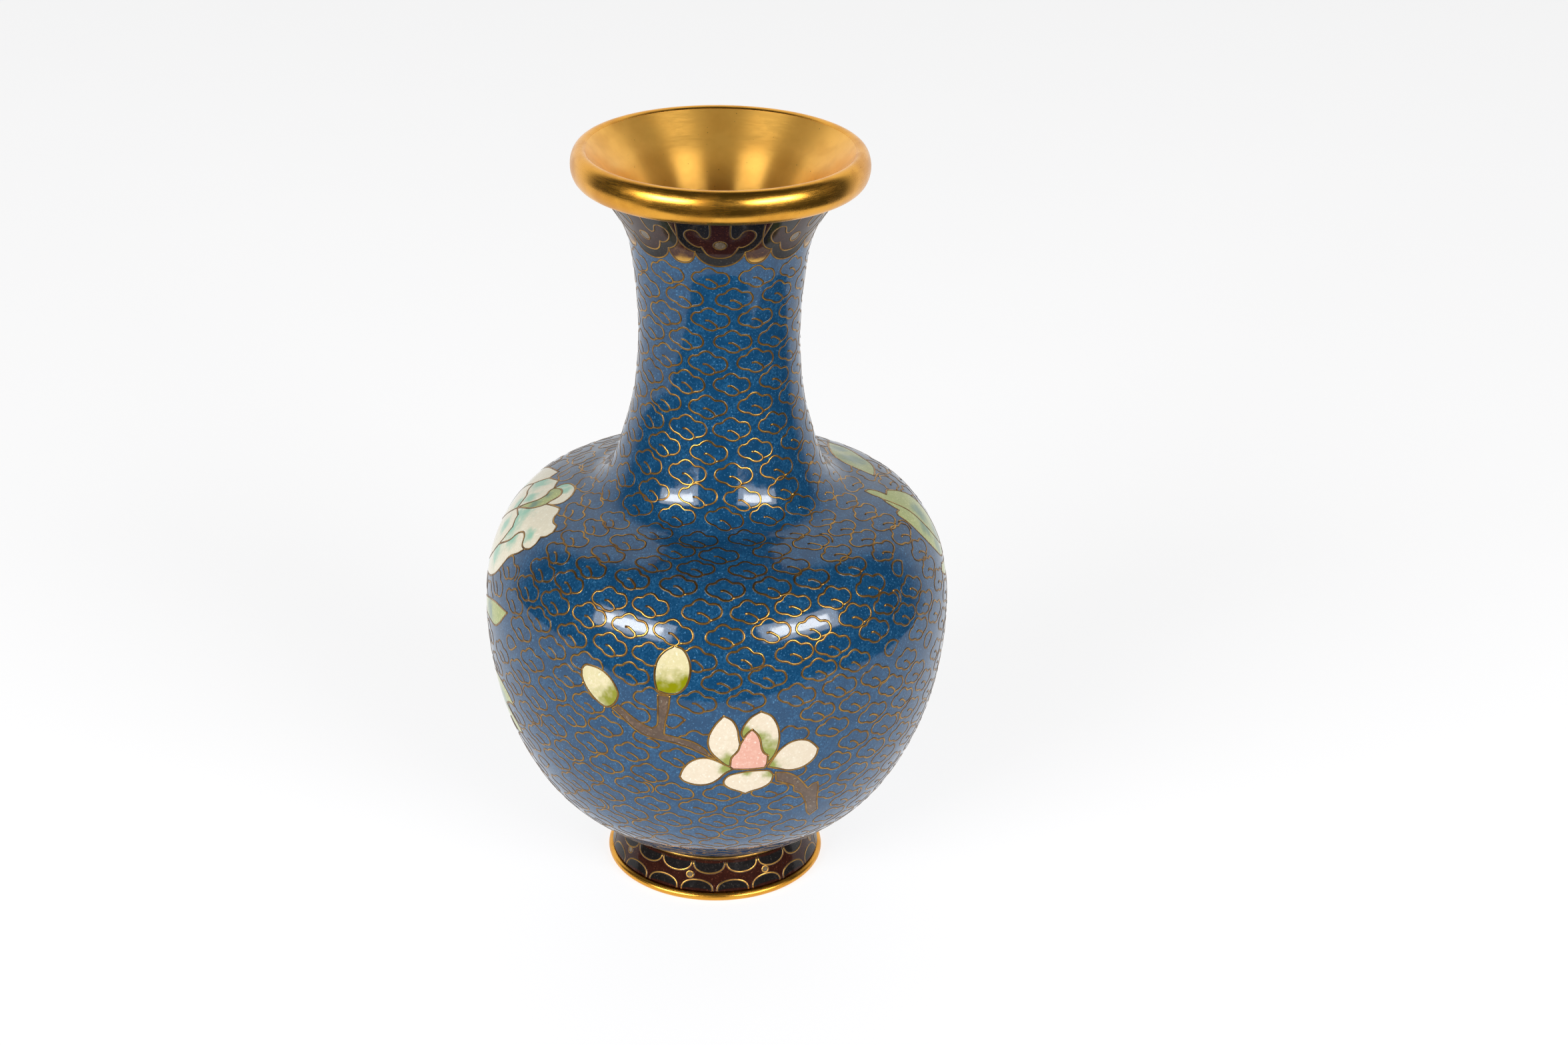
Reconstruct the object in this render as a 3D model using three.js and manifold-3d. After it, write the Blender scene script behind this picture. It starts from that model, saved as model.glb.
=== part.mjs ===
// Cloisonne bottle vase with a rolled lip, a ruyi collar, flower inlays and a flared foot.
// Millimetres, +Z up, the foot's resting face at Z = 0, the magnolia facing -Y.
// A place on the vase is [angle, distance]: degrees around from the front, positive towards +X,
// and millimetres up the enamelled face from where the body meets the foot.

import * as THREE from "three";
import { mergeVertices } from "three/addons/utils/BufferGeometryUtils.js";
import Module from "manifold-3d";

const wasm = await Module();
wasm.setup();

// ---------------------------------------------------------------- driving dimensions

const SEGMENTS = 32; // flat sides of a turned piece that shows
const COPPER_SEGMENTS = 24; // and of one that the enamel covers
const SEAM = 0.3; // clearance between neighbouring solids
const ENAMEL = 1.0; // thickness of the body enamel
const COPPER = 1.2; // thickness of the copper walls
const FACET_GAP = 0.1; // extra clearance, as copper and enamel have different flat sides
const COPPER_FACE = ENAMEL + SEAM + FACET_GAP; // depth of the copper below the enamelled face
const COPPER_BACK = COPPER_FACE + COPPER;

// Enamelled face of the body from the foot to the lip: [radius, height].
const WALL_POINTS = [
  [18.3, 8.9], [27.2, 14.3], [36.4, 24.0], [43.1, 39.0], [45.6, 55.7],
  [44.2, 69.0], [38.5, 78.2], [30.3, 81.5], [24.8, 82.9], [21.4, 86.0],
  [19.0, 92.0], [16.4, 102.0], [15.4, 114.3], [16.2, 127.0], [18.0, 135.7],
  [22.9, 143.4], [24.9, 145.4],
];
const BELLY_START = 0.6; // distances along the enamelled face
const BELLY_END = 72.4;
const SHOULDER_START = 73.0;
const SHOULDER_END = 102.7;
const NECK_START = 103.3;
const RUYI_BOTTOM = 149.5;
const BLUE_TOP = 154.5;
const COPPER_SEAM_RING = 7; // the enamel ring at which the copper bowl ends
const COPPER_TOP = 158.6;
const COLLAR_TOP = 162.9;
const RING_COUNTS = { belly: 9, shoulder: 8, neck: 4, collar: 4, funnel: 4 }; // steps of each outline

const LIP_RADIUS = 25.98; // centre of the rolled lip's oval section
const LIP_HEIGHT = 147.7;
const LIP_ACROSS = 1.95; // half the oval's width and height, so the vase is 150.9 high
const LIP_UP = 3.21;
const LIP_FROM = -115; // degrees round the oval, from its underside over the top to the ledge
const LIP_TO = 150;
const LIP_STEPS = 9;
const LIP_REBATE = 1.4; // ledge that hides the funnel's upper edge
const FUNNEL_FACE = 3.9; // depth of the funnel's bright face below the enamel
const FUNNEL_BACK = 3.2;
const FUNNEL_START = 129.3;
const FUNNEL_END = 158.3;

const FOOT_BOTTOM = [21.15, 2.35]; // lower and upper edges of the foot enamel
const FOOT_TOP = [18.75, 7.7];
const FOOT_ENAMEL = 0.8;
const FOOT_CORE = 1.0;
const FOOT_CORE_START = 1.2; // clears the rim
const FOOT_RIM_RADIUS = 22.0;
const FOOT_RIM_HEIGHT = 1.7;
const FOOT_RIM_INNER = 18.9;
const FOOT_RIM_STEPS = 4;
const FOOT_WIRE_RADIUS = 0.35; // section of the wire ring that closes the foot
const FOOT_WIRE_GAP = 0.32; // between the foot enamel and the wire ring
const FOOT_WIRE_SIDES = 6;
const FLOOR_BOTTOM = 10.0; // underside of the copper floor
const BASE_ENAMEL_RADIUS = 15.9;
const BASE_ENAMEL = 0.8;
const RUYI_HEADS = 8;
const RUYI_PITCH = 360 / RUYI_HEADS;

const CUT_ABOVE = 3.5; // how far a cutting prism reaches above and below the enamelled face
const CUT_BELOW = 3.0;
const MITRE_LIMIT = 3;

// ---------------------------------------------------------------- materials

const gilt = { color: 0xd9a24a, roughness: 0.28, metalness: 1 };
const wire = { color: 0xb07a3c, roughness: 0.35, metalness: 1 };
const copper = { color: 0xa8613c, roughness: 0.5, metalness: 1 };
const blueEnamel = { color: 0x1f5c93, roughness: 0.12, metalness: 0 };
const blackEnamel = { color: 0x1c1a1c, roughness: 0.15, metalness: 0 };
const maroonEnamel = { color: 0x3a1a17, roughness: 0.15, metalness: 0 };
const amberEnamel = { color: 0x6a3f1c, roughness: 0.15, metalness: 0 };
const creamEnamel = { color: 0xefe9d6, roughness: 0.15, metalness: 0 };
const budEnamel = { color: 0xdfe0a6, roughness: 0.15, metalness: 0 };
const pinkEnamel = { color: 0xe3a9a0, roughness: 0.15, metalness: 0 };
const peonyEnamel = { color: 0xe9ddcd, roughness: 0.15, metalness: 0 };
const leafEnamel = { color: 0xa9b777, roughness: 0.15, metalness: 0 };
const barkEnamel = { color: 0x6b5d52, roughness: 0.2, metalness: 0 };
const turquoiseEnamel = { color: 0x2f8f98, roughness: 0.2, metalness: 0 };

const vase = new THREE.Group();

function addPiece(name, geometry, look) {
  const mesh = new THREE.Mesh(geometry, new THREE.MeshStandardMaterial(look));
  mesh.name = name;
  vase.add(mesh);
}

// ---------------------------------------------------------------- enamelled faces

// A face is an outline that rises from `bottom`, with distances measured along it.
function makeFace(curve) {
  curve.arcLengthDivisions = 1500;
  const length = curve.getLength();
  return function place(distance, depth) {
    const share = THREE.MathUtils.clamp(distance / length, 0, 1);
    const point = curve.getPointAt(share);
    const along = curve.getTangentAt(share);
    return new THREE.Vector2(point.x - along.y * depth, point.y + along.x * depth);
  };
}

const onWall = makeFace(new THREE.SplineCurve(WALL_POINTS.map((point) => new THREE.Vector2(...point))));
const footBottom = new THREE.Vector2(...FOOT_BOTTOM);
const footTop = new THREE.Vector2(...FOOT_TOP);
const onFoot = makeFace(new THREE.LineCurve(footBottom, footTop));
const FOOT_LENGTH = footBottom.distanceTo(footTop);

function steps(from, to, count) {
  return Array.from({ length: count + 1 }, (_, i) => from + ((to - from) * i) / count);
}

const BELLY_RINGS = steps(BELLY_START, BELLY_END, RING_COUNTS.belly);
const SHOULDER_RINGS = steps(SHOULDER_START, SHOULDER_END, RING_COUNTS.shoulder);
const NECK_RINGS = steps(NECK_START, RUYI_BOTTOM, RING_COUNTS.neck);
const COLLAR_RINGS = steps(RUYI_BOTTOM, COLLAR_TOP, RING_COUNTS.collar);
const BOWL_RINGS = BELLY_RINGS.slice(0, COPPER_SEAM_RING + 1); // the copper's seam is near the widest place
const WALL_RINGS = [...BELLY_RINGS, ...SHOULDER_RINGS, ...NECK_RINGS, ...COLLAR_RINGS.slice(1)];

// ---------------------------------------------------------------- turned solids

// The profile runs counter-clockwise, with the radius to the right and the height up.
function turn(profile, segments = SEGMENTS) {
  const geometry = new THREE.LatheGeometry(profile, segments);
  geometry.rotateX(Math.PI / 2);
  return geometry;
}

function closed(profile) {
  return [...profile, profile[0].clone()];
}

function shell(place, rings, outerDepth, innerDepth) {
  const outer = rings.map((distance) => place(distance, outerDepth));
  const inner = [...rings].reverse().map((distance) => place(distance, innerDepth));
  return turn(closed([...outer, ...inner]));
}

function copperShell(rings) {
  const outer = rings.map((distance) => onWall(distance, COPPER_FACE));
  const inner = everySecond(rings).reverse().map((distance) => onWall(distance, COPPER_BACK));
  return turn(closed([...outer, ...inner]), COPPER_SEGMENTS);
}

function everySecond(rings) {
  return rings.filter((_, i) => i % 2 === 0 || i === rings.length - 1);
}

// ---------------------------------------------------------------- solids to cut and join

function toSolid(geometry) {
  const bare = geometry.clone();
  bare.deleteAttribute("normal");
  bare.deleteAttribute("uv");
  const merged = mergeVertices(bare, 1e-4);
  const mesh = new wasm.Mesh({
    numProp: 3,
    vertProperties: Float32Array.from(merged.attributes.position.array),
    triVerts: Uint32Array.from(merged.index.array),
  });
  return new wasm.Manifold(mesh);
}

function toGeometry(solid) {
  const mesh = solid.getMesh();
  const geometry = new THREE.BufferGeometry();
  geometry.setAttribute("position", new THREE.BufferAttribute(Float32Array.from(mesh.vertProperties), 3));
  geometry.setIndex(new THREE.BufferAttribute(Uint32Array.from(mesh.triVerts), 1));
  geometry.computeVertexNormals();
  return geometry;
}

function around(place, angle, distance, depth) {
  const point = place(distance, depth);
  const turned = THREE.MathUtils.degToRad(angle);
  return new THREE.Vector3(point.x * Math.sin(turned), -point.x * Math.cos(turned), point.y);
}

// Moves every side of an outline outwards by `growth` millimetres, or inwards if it is negative.
function offset(place, outline, growth) {
  const count = outline.length;
  const turnWay = THREE.ShapeUtils.area(outline.map(([x, y]) => new THREE.Vector2(x, y))) > 0 ? 1 : -1;
  return outline.map(([angle, distance], i) => {
    const perDegree = THREE.MathUtils.degToRad(place(distance, 0).x);
    const side = (from, to) => {
      const edge = new THREE.Vector2((to[0] - from[0]) * perDegree, to[1] - from[1]).normalize();
      return new THREE.Vector2(edge.y, -edge.x).multiplyScalar(turnWay);
    };
    const before = side(outline[(i + count - 1) % count], outline[i]);
    const after = side(outline[i], outline[(i + 1) % count]);
    const mitre = before.clone().add(after).divideScalar(1 + before.dot(after));
    mitre.clampLength(0, MITRE_LIMIT).multiplyScalar(growth);
    return [angle + mitre.x / perDegree, distance + mitre.y];
  });
}

// A prism through the enamel, its sides square to the face, over an outline of [angle, distance].
function prism(place, outline) {
  const flat = outline.map(([angle, distance]) => new THREE.Vector2(angle, distance));
  const rim = THREE.ShapeUtils.area(flat) > 0 ? outline : [...outline].reverse();
  const count = rim.length;
  const corners = [];
  for (const depth of [CUT_BELOW, -CUT_ABOVE]) {
    rim.forEach(([angle, distance]) => corners.push(...around(place, angle, distance, depth).toArray()));
  }
  const faces = [];
  const caps = THREE.ShapeUtils.triangulateShape(rim.map(([x, y]) => new THREE.Vector2(x, y)), []);
  caps.forEach(([a, b, c]) => {
    faces.push(a, c, b);
    faces.push(a + count, b + count, c + count);
  });
  for (let i = 0; i < count; i++) {
    const next = (i + 1) % count;
    // The same diagonal from either side, so that neighbours' walls stay parallel.
    if (rim[i][0] < rim[next][0]) {
      faces.push(i, next, next + count, i, next + count, i + count);
    } else {
      faces.push(i, next, i + count, next, next + count, i + count);
    }
  }
  const mesh = new wasm.Mesh({
    numProp: 3,
    vertProperties: Float32Array.from(corners),
    triVerts: Uint32Array.from(faces),
  });
  return new wasm.Manifold(mesh);
}

const wallLayer = toSolid(shell(onWall, WALL_RINGS, 0, ENAMEL));
const pockets = []; // prisms that the blue ground is cut by

// An inlay fills its outline but for half a seam all round; its pocket is half a seam larger.
function addInlay(name, outline, look) {
  const half = SEAM / 2;
  addPiece(name, toGeometry(wallLayer.intersect(prism(onWall, offset(onWall, outline, -half)))), look);
  pockets.push(prism(onWall, offset(onWall, outline, half)));
}

function cutAll(solid, cutters) {
  return cutters.reduce((left, cutter) => left.subtract(cutter), solid);
}

// Repeats half an outline, given from the middle to its far edge, on both sides of an angle.
function mirrored(half, middle) {
  const right = half.map(([angle, distance]) => [middle + angle, distance]);
  const left = half.filter(([angle]) => angle > 0).map(([angle, distance]) => [middle - angle, distance]);
  return [...right, ...left.reverse()];
}

// ---------------------------------------------------------------- copper body

const coveredRings = COLLAR_RINGS.filter((ring) => ring > RUYI_BOTTOM && ring < COPPER_TOP);
addPiece("neck_tube", copperShell([...NECK_RINGS, ...coveredRings, COPPER_TOP]), copper);
addPiece("shoulder_shell", copperShell([
  BELLY_RINGS[COPPER_SEAM_RING] + 2 * SEAM,
  ...BELLY_RINGS.slice(COPPER_SEAM_RING + 1),
  ...SHOULDER_RINGS.slice(1),
]), copper);

function makeBellyBowl() {
  const outer = BOWL_RINGS.map((distance) => onWall(distance, COPPER_FACE));
  const inner = everySecond(BOWL_RINGS).slice(1).reverse();
  const floorTop = FLOOR_BOTTOM + COPPER;
  const profile = [
    new THREE.Vector2(0, FLOOR_BOTTOM),
    new THREE.Vector2(outer[0].x - COPPER, FLOOR_BOTTOM),
    ...outer,
    ...inner.map((distance) => onWall(distance, COPPER_BACK)),
    new THREE.Vector2(outer[0].x, floorTop),
    new THREE.Vector2(0, floorTop),
  ];
  return turn(profile, COPPER_SEGMENTS);
}
addPiece("belly_bowl", makeBellyBowl(), copper);

// ---------------------------------------------------------------- lip and funnel

function onLip(angle) {
  const turned = THREE.MathUtils.degToRad(angle);
  return new THREE.Vector2(
    LIP_RADIUS + LIP_ACROSS * Math.cos(turned),
    LIP_HEIGHT + LIP_UP * Math.sin(turned),
  );
}

function makeLip() {
  const roll = steps(LIP_FROM, LIP_TO, LIP_STEPS).map(onLip);
  const ledge = onLip(LIP_TO);
  const rebate = new THREE.Vector2(ledge.x + LIP_REBATE, ledge.y - SEAM);
  return turn(closed([...roll, rebate]));
}
addPiece("lip_roll", makeLip(), gilt);

function makeFunnel() {
  const rings = steps(FUNNEL_START, FUNNEL_END, RING_COUNTS.funnel);
  const back = rings.map((distance) => onWall(distance, FUNNEL_BACK));
  const face = rings.map((distance) => onWall(distance, FUNNEL_FACE)).reverse();
  const upper = onLip(LIP_TO).add(new THREE.Vector2(-SEAM, -2 * SEAM));
  const flare = upper.clone().add(face[0]).divideScalar(2);
  const outwards = new THREE.Vector2(FUNNEL_FACE - FUNNEL_BACK, -SEAM);
  const upperBack = upper.clone().add(outwards);
  const flareBack = flare.clone().add(outwards);
  return turn(closed([...back, flareBack, upperBack, upper, flare, ...face]));
}
addPiece("mouth_funnel", makeFunnel(), gilt);

// ---------------------------------------------------------------- ruyi collar

// Half of each outline, from the middle of the motif outwards: [degrees, distance].
const RUYI_LOBE_HALF = [[6, 149.8], [12, 150.8], [14.4, 152.5], [19, 153.5]];
const RUYI_MEETING = [RUYI_PITCH / 2, 156.1];
const RUYI_FIELD_HALF = [
  [0, 151.5], [6, 152.0], [10.4, 153.9], [14.0, 154.2], [18.0, 156.5], [14.5, 158.9],
  [10.3, 158.1], [7.5, 156.5], [5.0, 158.1], [4.9, COLLAR_TOP + SEAM],
];
const RUYI_HEAD_HALF = [[0, RUYI_BOTTOM], ...RUYI_LOBE_HALF, RUYI_MEETING, [RUYI_PITCH / 2, COLLAR_TOP]];
const PENDANT_HALF = [[0, 149.8], [5, 150.3], [8.2, 152.4], [3.6, 153.5], [0.8, 155.2]];

const belowLobe = [3, RUYI_BOTTOM - 1];
const notchHalf = [belowLobe, ...RUYI_LOBE_HALF, RUYI_MEETING];
const collarLayer = toSolid(shell(onWall, COLLAR_RINGS, 0, ENAMEL));
const collarCuts = [];
for (let i = 0; i < RUYI_HEADS; i++) {
  const middle = i * RUYI_PITCH;
  const field = mirrored(RUYI_FIELD_HALF, middle);
  const head = mirrored(RUYI_HEAD_HALF, middle);
  const pendant = mirrored(PENDANT_HALF, middle + RUYI_PITCH / 2);
  const notch = [
    ...notchHalf.map(([angle, distance]) => [middle + angle, distance]),
    ...notchHalf.slice(0, -1).reverse().map(([angle, distance]) => [middle + RUYI_PITCH - angle, distance]),
  ];
  const fieldSolid = collarLayer.intersect(prism(onWall, offset(onWall, field, -SEAM / 2)));
  addPiece(`ruyi_field_${i + 1}`, toGeometry(fieldSolid), maroonEnamel);
  collarCuts.push(prism(onWall, offset(onWall, field, SEAM / 2)), prism(onWall, notch));
  pockets.push(prism(onWall, offset(onWall, head, SEAM)));
  addInlay(`collar_pendant_${i + 1}`, offset(onWall, pendant, -SEAM / 2), amberEnamel);
}
addPiece("collar_ground", toGeometry(cutAll(collarLayer, collarCuts)), blackEnamel);

// ---------------------------------------------------------------- magnolia on the front

// Edges that two pieces share are written once, and each piece joins them to its own points.
const PISTIL_LEFT = [[3.4, 45.8], [3.5, 46.6], [3.75, 48.0], [4.6, 48.9], [5.3, 49.7], [5.75, 51.1]];
const PISTIL_TOP = [[6.5, 52.3], [7.3, 53.4], [8.5, 54.3], [9.7, 53.2], [10.5, 51.8]];
const PISTIL_RIGHT = [[10.9, 50.0], [11.5, 48.8], [12.6, 48.0], [12.5, 46.0]];

addInlay("magnolia_pistil", [
  [8.2, 45.0], [4.2, 45.2], ...PISTIL_LEFT, ...PISTIL_TOP, ...PISTIL_RIGHT, [12.0, 45.1],
], pinkEnamel);
addInlay("magnolia_petal_1", [
  [1.75, 57.5], [-0.25, 55.5], [-1.6, 53.2], [-1.9, 51.2], [-1.2, 49.4], [0.4, 47.8], [2.3, 46.3],
  ...PISTIL_LEFT, [5.4, 52.4], [5.0, 54.5], [3.7, 56.5],
], creamEnamel);
addInlay("magnolia_petal_2", [
  [10.5, 58.1], [8.2, 57.0], [6.7, 55.4], [5.9, 53.6], ...PISTIL_TOP, ...PISTIL_RIGHT,
  [14.2, 48.0], [15.0, 50.2], [15.1, 52.7], [14.4, 55.0], [12.9, 57.0],
], creamEnamel);
addInlay("magnolia_petal_3", [
  [12.7, 45.2], [14.0, 47.2], [15.6, 49.1], [17.6, 50.3], [20.0, 50.7], [22.4, 50.2], [24.2, 49.0],
  [25.5, 47.7], [25.0, 45.9], [23.4, 44.5], [21.0, 43.7], [18.0, 43.7], [15.4, 44.5],
], creamEnamel);
addInlay("magnolia_petal_4", [
  [4.2, 45.2], [3.4, 45.8], [2.3, 46.3], [0.2, 47.3], [-1.8, 47.9], [-4.0, 47.8], [-6.3, 46.8], [-8.0, 45.0],
  [-8.9, 43.0], [-8.2, 42.1], [-6.4, 41.4], [-4.0, 41.1], [-1.5, 41.5], [0.5, 42.6], [2.3, 44.2],
], creamEnamel);
addInlay("magnolia_petal_5", [
  [7.5, 38.6], [6.0, 39.3], [3.6, 40.2], [2.2, 41.2], [2.0, 42.4], [3.2, 43.6], [5.5, 44.2],
  [8.2, 44.5], [11.0, 44.5], [13.2, 44.2], [14.4, 43.0], [13.8, 41.2], [12.0, 40.0], [9.0, 39.2],
], creamEnamel);
addInlay("magnolia_bud_1", [
  [-13.9, 62.0], [-14.5, 64.1], [-14.5, 66.4], [-13.8, 68.4], [-12.2, 70.0], [-10.0, 71.1],
  [-8.0, 70.5], [-6.5, 68.6], [-6.1, 66.8], [-6.4, 64.8], [-7.3, 63.1], [-9.2, 61.8], [-11.5, 61.6],
], budEnamel);
addInlay("magnolia_bud_2", [
  [-33.4, 63.2], [-32.4, 64.2], [-30.5, 64.4], [-28.0, 64.1], [-26.0, 63.2], [-24.5, 61.8],
  [-23.5, 60.0], [-24.0, 58.4], [-25.4, 57.0], [-26.8, 56.6], [-28.6, 57.1], [-30.6, 58.3],
  [-32.4, 60.0], [-33.3, 61.6],
], budEnamel);
addInlay("branch_left", [
  [-13.7, 61.2], [-10.8, 61.2], [-11.2, 58.3], [-12.0, 55.2], [-12.3, 52.8], [-9.0, 52.3],
  [-5.5, 51.6], [-2.6, 50.0], [-1.6, 48.9], [0.0, 47.7], [-1.8, 48.2], [-4.0, 49.2], [-7.0, 50.3],
  [-11.0, 51.2], [-15.0, 51.6], [-18.5, 52.5], [-21.5, 54.3], [-23.7, 55.8], [-25.2, 56.6],
  [-23.6, 57.6], [-22.2, 56.9], [-20.0, 55.6], [-17.0, 54.3], [-15.2, 53.8], [-14.0, 54.6],
  [-13.7, 57.2],
], barkEnamel);
addInlay("branch_right", [
  [14.8, 43.6], [17.5, 43.2], [20.0, 42.0], [22.0, 40.3], [24.4, 37.7], [25.7, 38.7], [27.0, 38.8],
  [27.6, 37.2], [28.2, 34.1], [29.0, 31.8], [29.9, 29.9], [28.0, 28.4], [26.4, 30.0], [25.0, 33.2],
  [23.8, 35.0], [22.4, 36.7], [20.5, 37.8], [20.2, 39.1], [18.4, 40.1], [15.2, 41.3],
], barkEnamel);

// ---------------------------------------------------------------- peony round the left side

const PEONY_CROWN = [
  [-79.3, 87.0], [-80.6, 87.9], [-81.6, 89.2], [-84.0, 90.3], [-88.0, 90.2], [-90.3, 88.8],
];
const PEONY_THROAT = [[-89.0, 87.9], [-86.4, 87.3], [-84.6, 85.5], [-85.6, 83.0], [-87.6, 80.7]];
const PEONY_FOLD = [[-82.6, 80.8], [-81.6, 79.9], [-79.4, 78.9], [-80.0, 76.0], [-81.2, 74.0]];
const PEONY_CURL = [
  [-75.2, 77.4], [-74.2, 78.9], [-73.0, 80.0], [-71.2, 80.6], [-69.4, 80.2], [-67.4, 78.8],
];
const PEONY_KEEL = [[-84.6, 70.7], [-90.0, 67.4], [-96.0, 65.3]];
const PEONY_HEART = [[-90.0, 82.3], [-92.4, 82.9], [-95.4, 82.8], [-99.4, 83.6]];
const PEONY_BACK = [[-92.0, 77.4], [-97.0, 73.9], [-101.5, 72.5]];

addInlay("peony_petal_1", [
  [-91.9, 90.5], [-91.0, 91.9], [-87.0, 93.0], [-83.0, 92.9], [-78.6, 91.8], [-76.4, 90.2],
  [-77.0, 88.4], ...PEONY_CROWN,
], peonyEnamel);
addInlay("peony_petal_2", [
  ...PEONY_CROWN, ...PEONY_THROAT, [-85.0, 82.0], [-81.0, 83.8], [-79.5, 85.5],
], leafEnamel);
addInlay("peony_petal_3", [
  [-79.3, 87.0], [-76.0, 88.3], [-73.0, 89.1], [-70.5, 88.3], [-68.5, 87.1], [-65.5, 86.3],
  [-63.0, 86.3], [-60.8, 84.9], [-61.2, 83.3], [-62.7, 82.5], [-62.2, 81.1], [-63.1, 79.5],
  [-65.2, 78.7], ...[...PEONY_CURL].reverse(), [-81.2, 74.0], ...[...PEONY_FOLD].reverse().slice(1),
  [-87.6, 80.7], [-85.0, 82.0], [-81.0, 83.8], [-79.5, 85.5],
], peonyEnamel);
addInlay("peony_petal_4", [
  [-65.2, 78.7], [-67.0, 77.1], [-70.0, 75.4], [-71.5, 73.5], [-73.5, 71.0], [-76.0, 69.2],
  [-80.0, 67.5], [-85.0, 66.2], [-91.0, 64.6], [-96.0, 65.3], ...[...PEONY_KEEL].reverse().slice(1),
  [-81.2, 74.0], ...PEONY_CURL,
], peonyEnamel);
addInlay("peony_petal_5", [
  [-87.6, 80.7], ...PEONY_FOLD, ...PEONY_KEEL, [-100.6, 66.4], ...[...PEONY_BACK].reverse(),
], peonyEnamel);
addInlay("peony_petal_6", [
  [-87.6, 80.7], ...PEONY_HEART, [-103.6, 78.2], ...[...PEONY_BACK].reverse(),
], peonyEnamel);
addInlay("peony_petal_7", [
  [-90.3, 88.8], ...PEONY_THROAT, ...PEONY_HEART, [-100.4, 86.9], [-96.6, 89.3],
], peonyEnamel);
addInlay("peony_petal_8", [
  [-99.4, 83.6], [-103.6, 78.2], [-101.5, 72.5], [-100.6, 66.4], [-106.0, 64.8], [-112.0, 66.6],
  [-117.0, 71.6], [-116.0, 78.8], [-111.0, 84.5], [-105.0, 88.1], [-100.4, 86.9],
], peonyEnamel);

// ---------------------------------------------------------------- leaves, stem and bud

addInlay("leaf_left_upper", [
  [-62.3, 66.0], [-64.0, 64.5], [-66.5, 62.4], [-70.0, 60.5], [-75.0, 59.8], [-80.0, 59.2],
  [-85.0, 58.4], [-90.0, 58.2], [-86.0, 60.8], [-81.0, 62.6], [-76.0, 64.1], [-70.0, 65.4],
], leafEnamel);
addInlay("leaf_left_lower", [
  [-62.5, 45.3], [-65.0, 46.9], [-68.0, 47.9], [-72.0, 48.3], [-76.0, 48.0], [-80.0, 46.8],
  [-84.0, 44.4], [-87.2, 40.8], [-88.8, 37.0], [-88.5, 34.2], [-84.2, 36.2], [-84.6, 29.8],
  [-80.5, 31.6], [-76.0, 36.6], [-70.5, 39.4], [-66.0, 37.4], [-62.3, 38.8], [-64.5, 40.8],
  [-69.8, 43.0], [-66.4, 44.6],
], leafEnamel);

const LEAF_MIDRIB = [[83.8, 88.5], [83.2, 84.5], [83.4, 80.3], [85.2, 76.2], [88.4, 72.7], [92.0, 70.7]];
addInlay("leaf_right_near", [
  [75.9, 82.9], [76.3, 84.7], [77.6, 85.2], [80.0, 85.0], [80.6, 86.3], [82.4, 87.9],
  ...LEAF_MIDRIB, [88.0, 70.1], [85.0, 70.7], [82.4, 72.0], [80.0, 74.1], [78.0, 76.5], [76.5, 79.2],
], leafEnamel);
addInlay("leaf_right_far", [
  ...LEAF_MIDRIB, [94.6, 74.1], [95.6, 78.2], [95.4, 82.4], [94.0, 85.7], [92.2, 87.7],
  [88.4, 87.9], [89.3, 89.9], [88.0, 91.7], [85.9, 92.2], [84.8, 91.1], [84.4, 89.3],
], leafEnamel);
addInlay("leaf_right_narrow", [
  [79.4, 69.3], [81.4, 70.3], [84.6, 69.5], [88.0, 68.8], [93.0, 67.6], [98.5, 65.4], [94.0, 64.8],
  [89.0, 65.6], [85.0, 66.6], [82.0, 67.7],
], leafEnamel);
addInlay("leaf_back_shoulder", [
  [103.0, 89.1], [108.0, 92.1], [115.0, 93.7], [123.0, 93.5], [131.0, 91.3], [138.0, 87.5],
  [131.0, 86.5], [122.0, 86.9], [113.0, 87.1],
], leafEnamel);
addInlay("branch_back", [
  [-117.6, 70.5], [-124.0, 66.8], [-134.0, 63.4], [-148.0, 61.2], [-160.0, 60.6], [-172.0, 62.0],
  [-182.6, 65.6], [-183.4, 63.8], [-173.0, 59.8], [-160.0, 58.2], [-147.0, 58.8], [-133.0, 61.0],
  [-123.0, 64.4], [-116.6, 68.0],
], barkEnamel);
addInlay("bud_back", [
  [-183.6, 63.2], [-183.2, 66.4], [-185.2, 70.5], [-189.6, 73.1], [-194.4, 72.5], [-197.2, 69.1],
  [-197.0, 64.8], [-193.6, 61.6], [-188.4, 60.8],
], budEnamel);
addInlay("leaf_back_hanging", [
  [-148.0, 57.8], [-143.6, 53.0], [-141.0, 46.4], [-142.6, 39.4], [-148.0, 33.6], [-153.4, 39.0],
  [-155.6, 46.0], [-153.6, 53.0],
], leafEnamel);

// ---------------------------------------------------------------- blue ground

function addGround(name, rings) {
  const layer = toSolid(shell(onWall, rings, 0, ENAMEL));
  addPiece(name, toGeometry(cutAll(layer, pockets)), blueEnamel);
}
addGround("belly_ground", BELLY_RINGS);
addGround("shoulder_ground", SHOULDER_RINGS);
const blueRings = COLLAR_RINGS.filter((ring) => ring > RUYI_BOTTOM && ring < BLUE_TOP);
addGround("neck_ground", [...NECK_RINGS, ...blueRings, BLUE_TOP]);

// ---------------------------------------------------------------- foot

addPiece("foot_band", shell(onFoot, [0, FOOT_LENGTH], 0, FOOT_ENAMEL), maroonEnamel);

const coreFace = FOOT_ENAMEL + SEAM;
addPiece("foot_core", shell(onFoot, [FOOT_CORE_START, FOOT_LENGTH], coreFace, coreFace + FOOT_CORE), copper);

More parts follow.
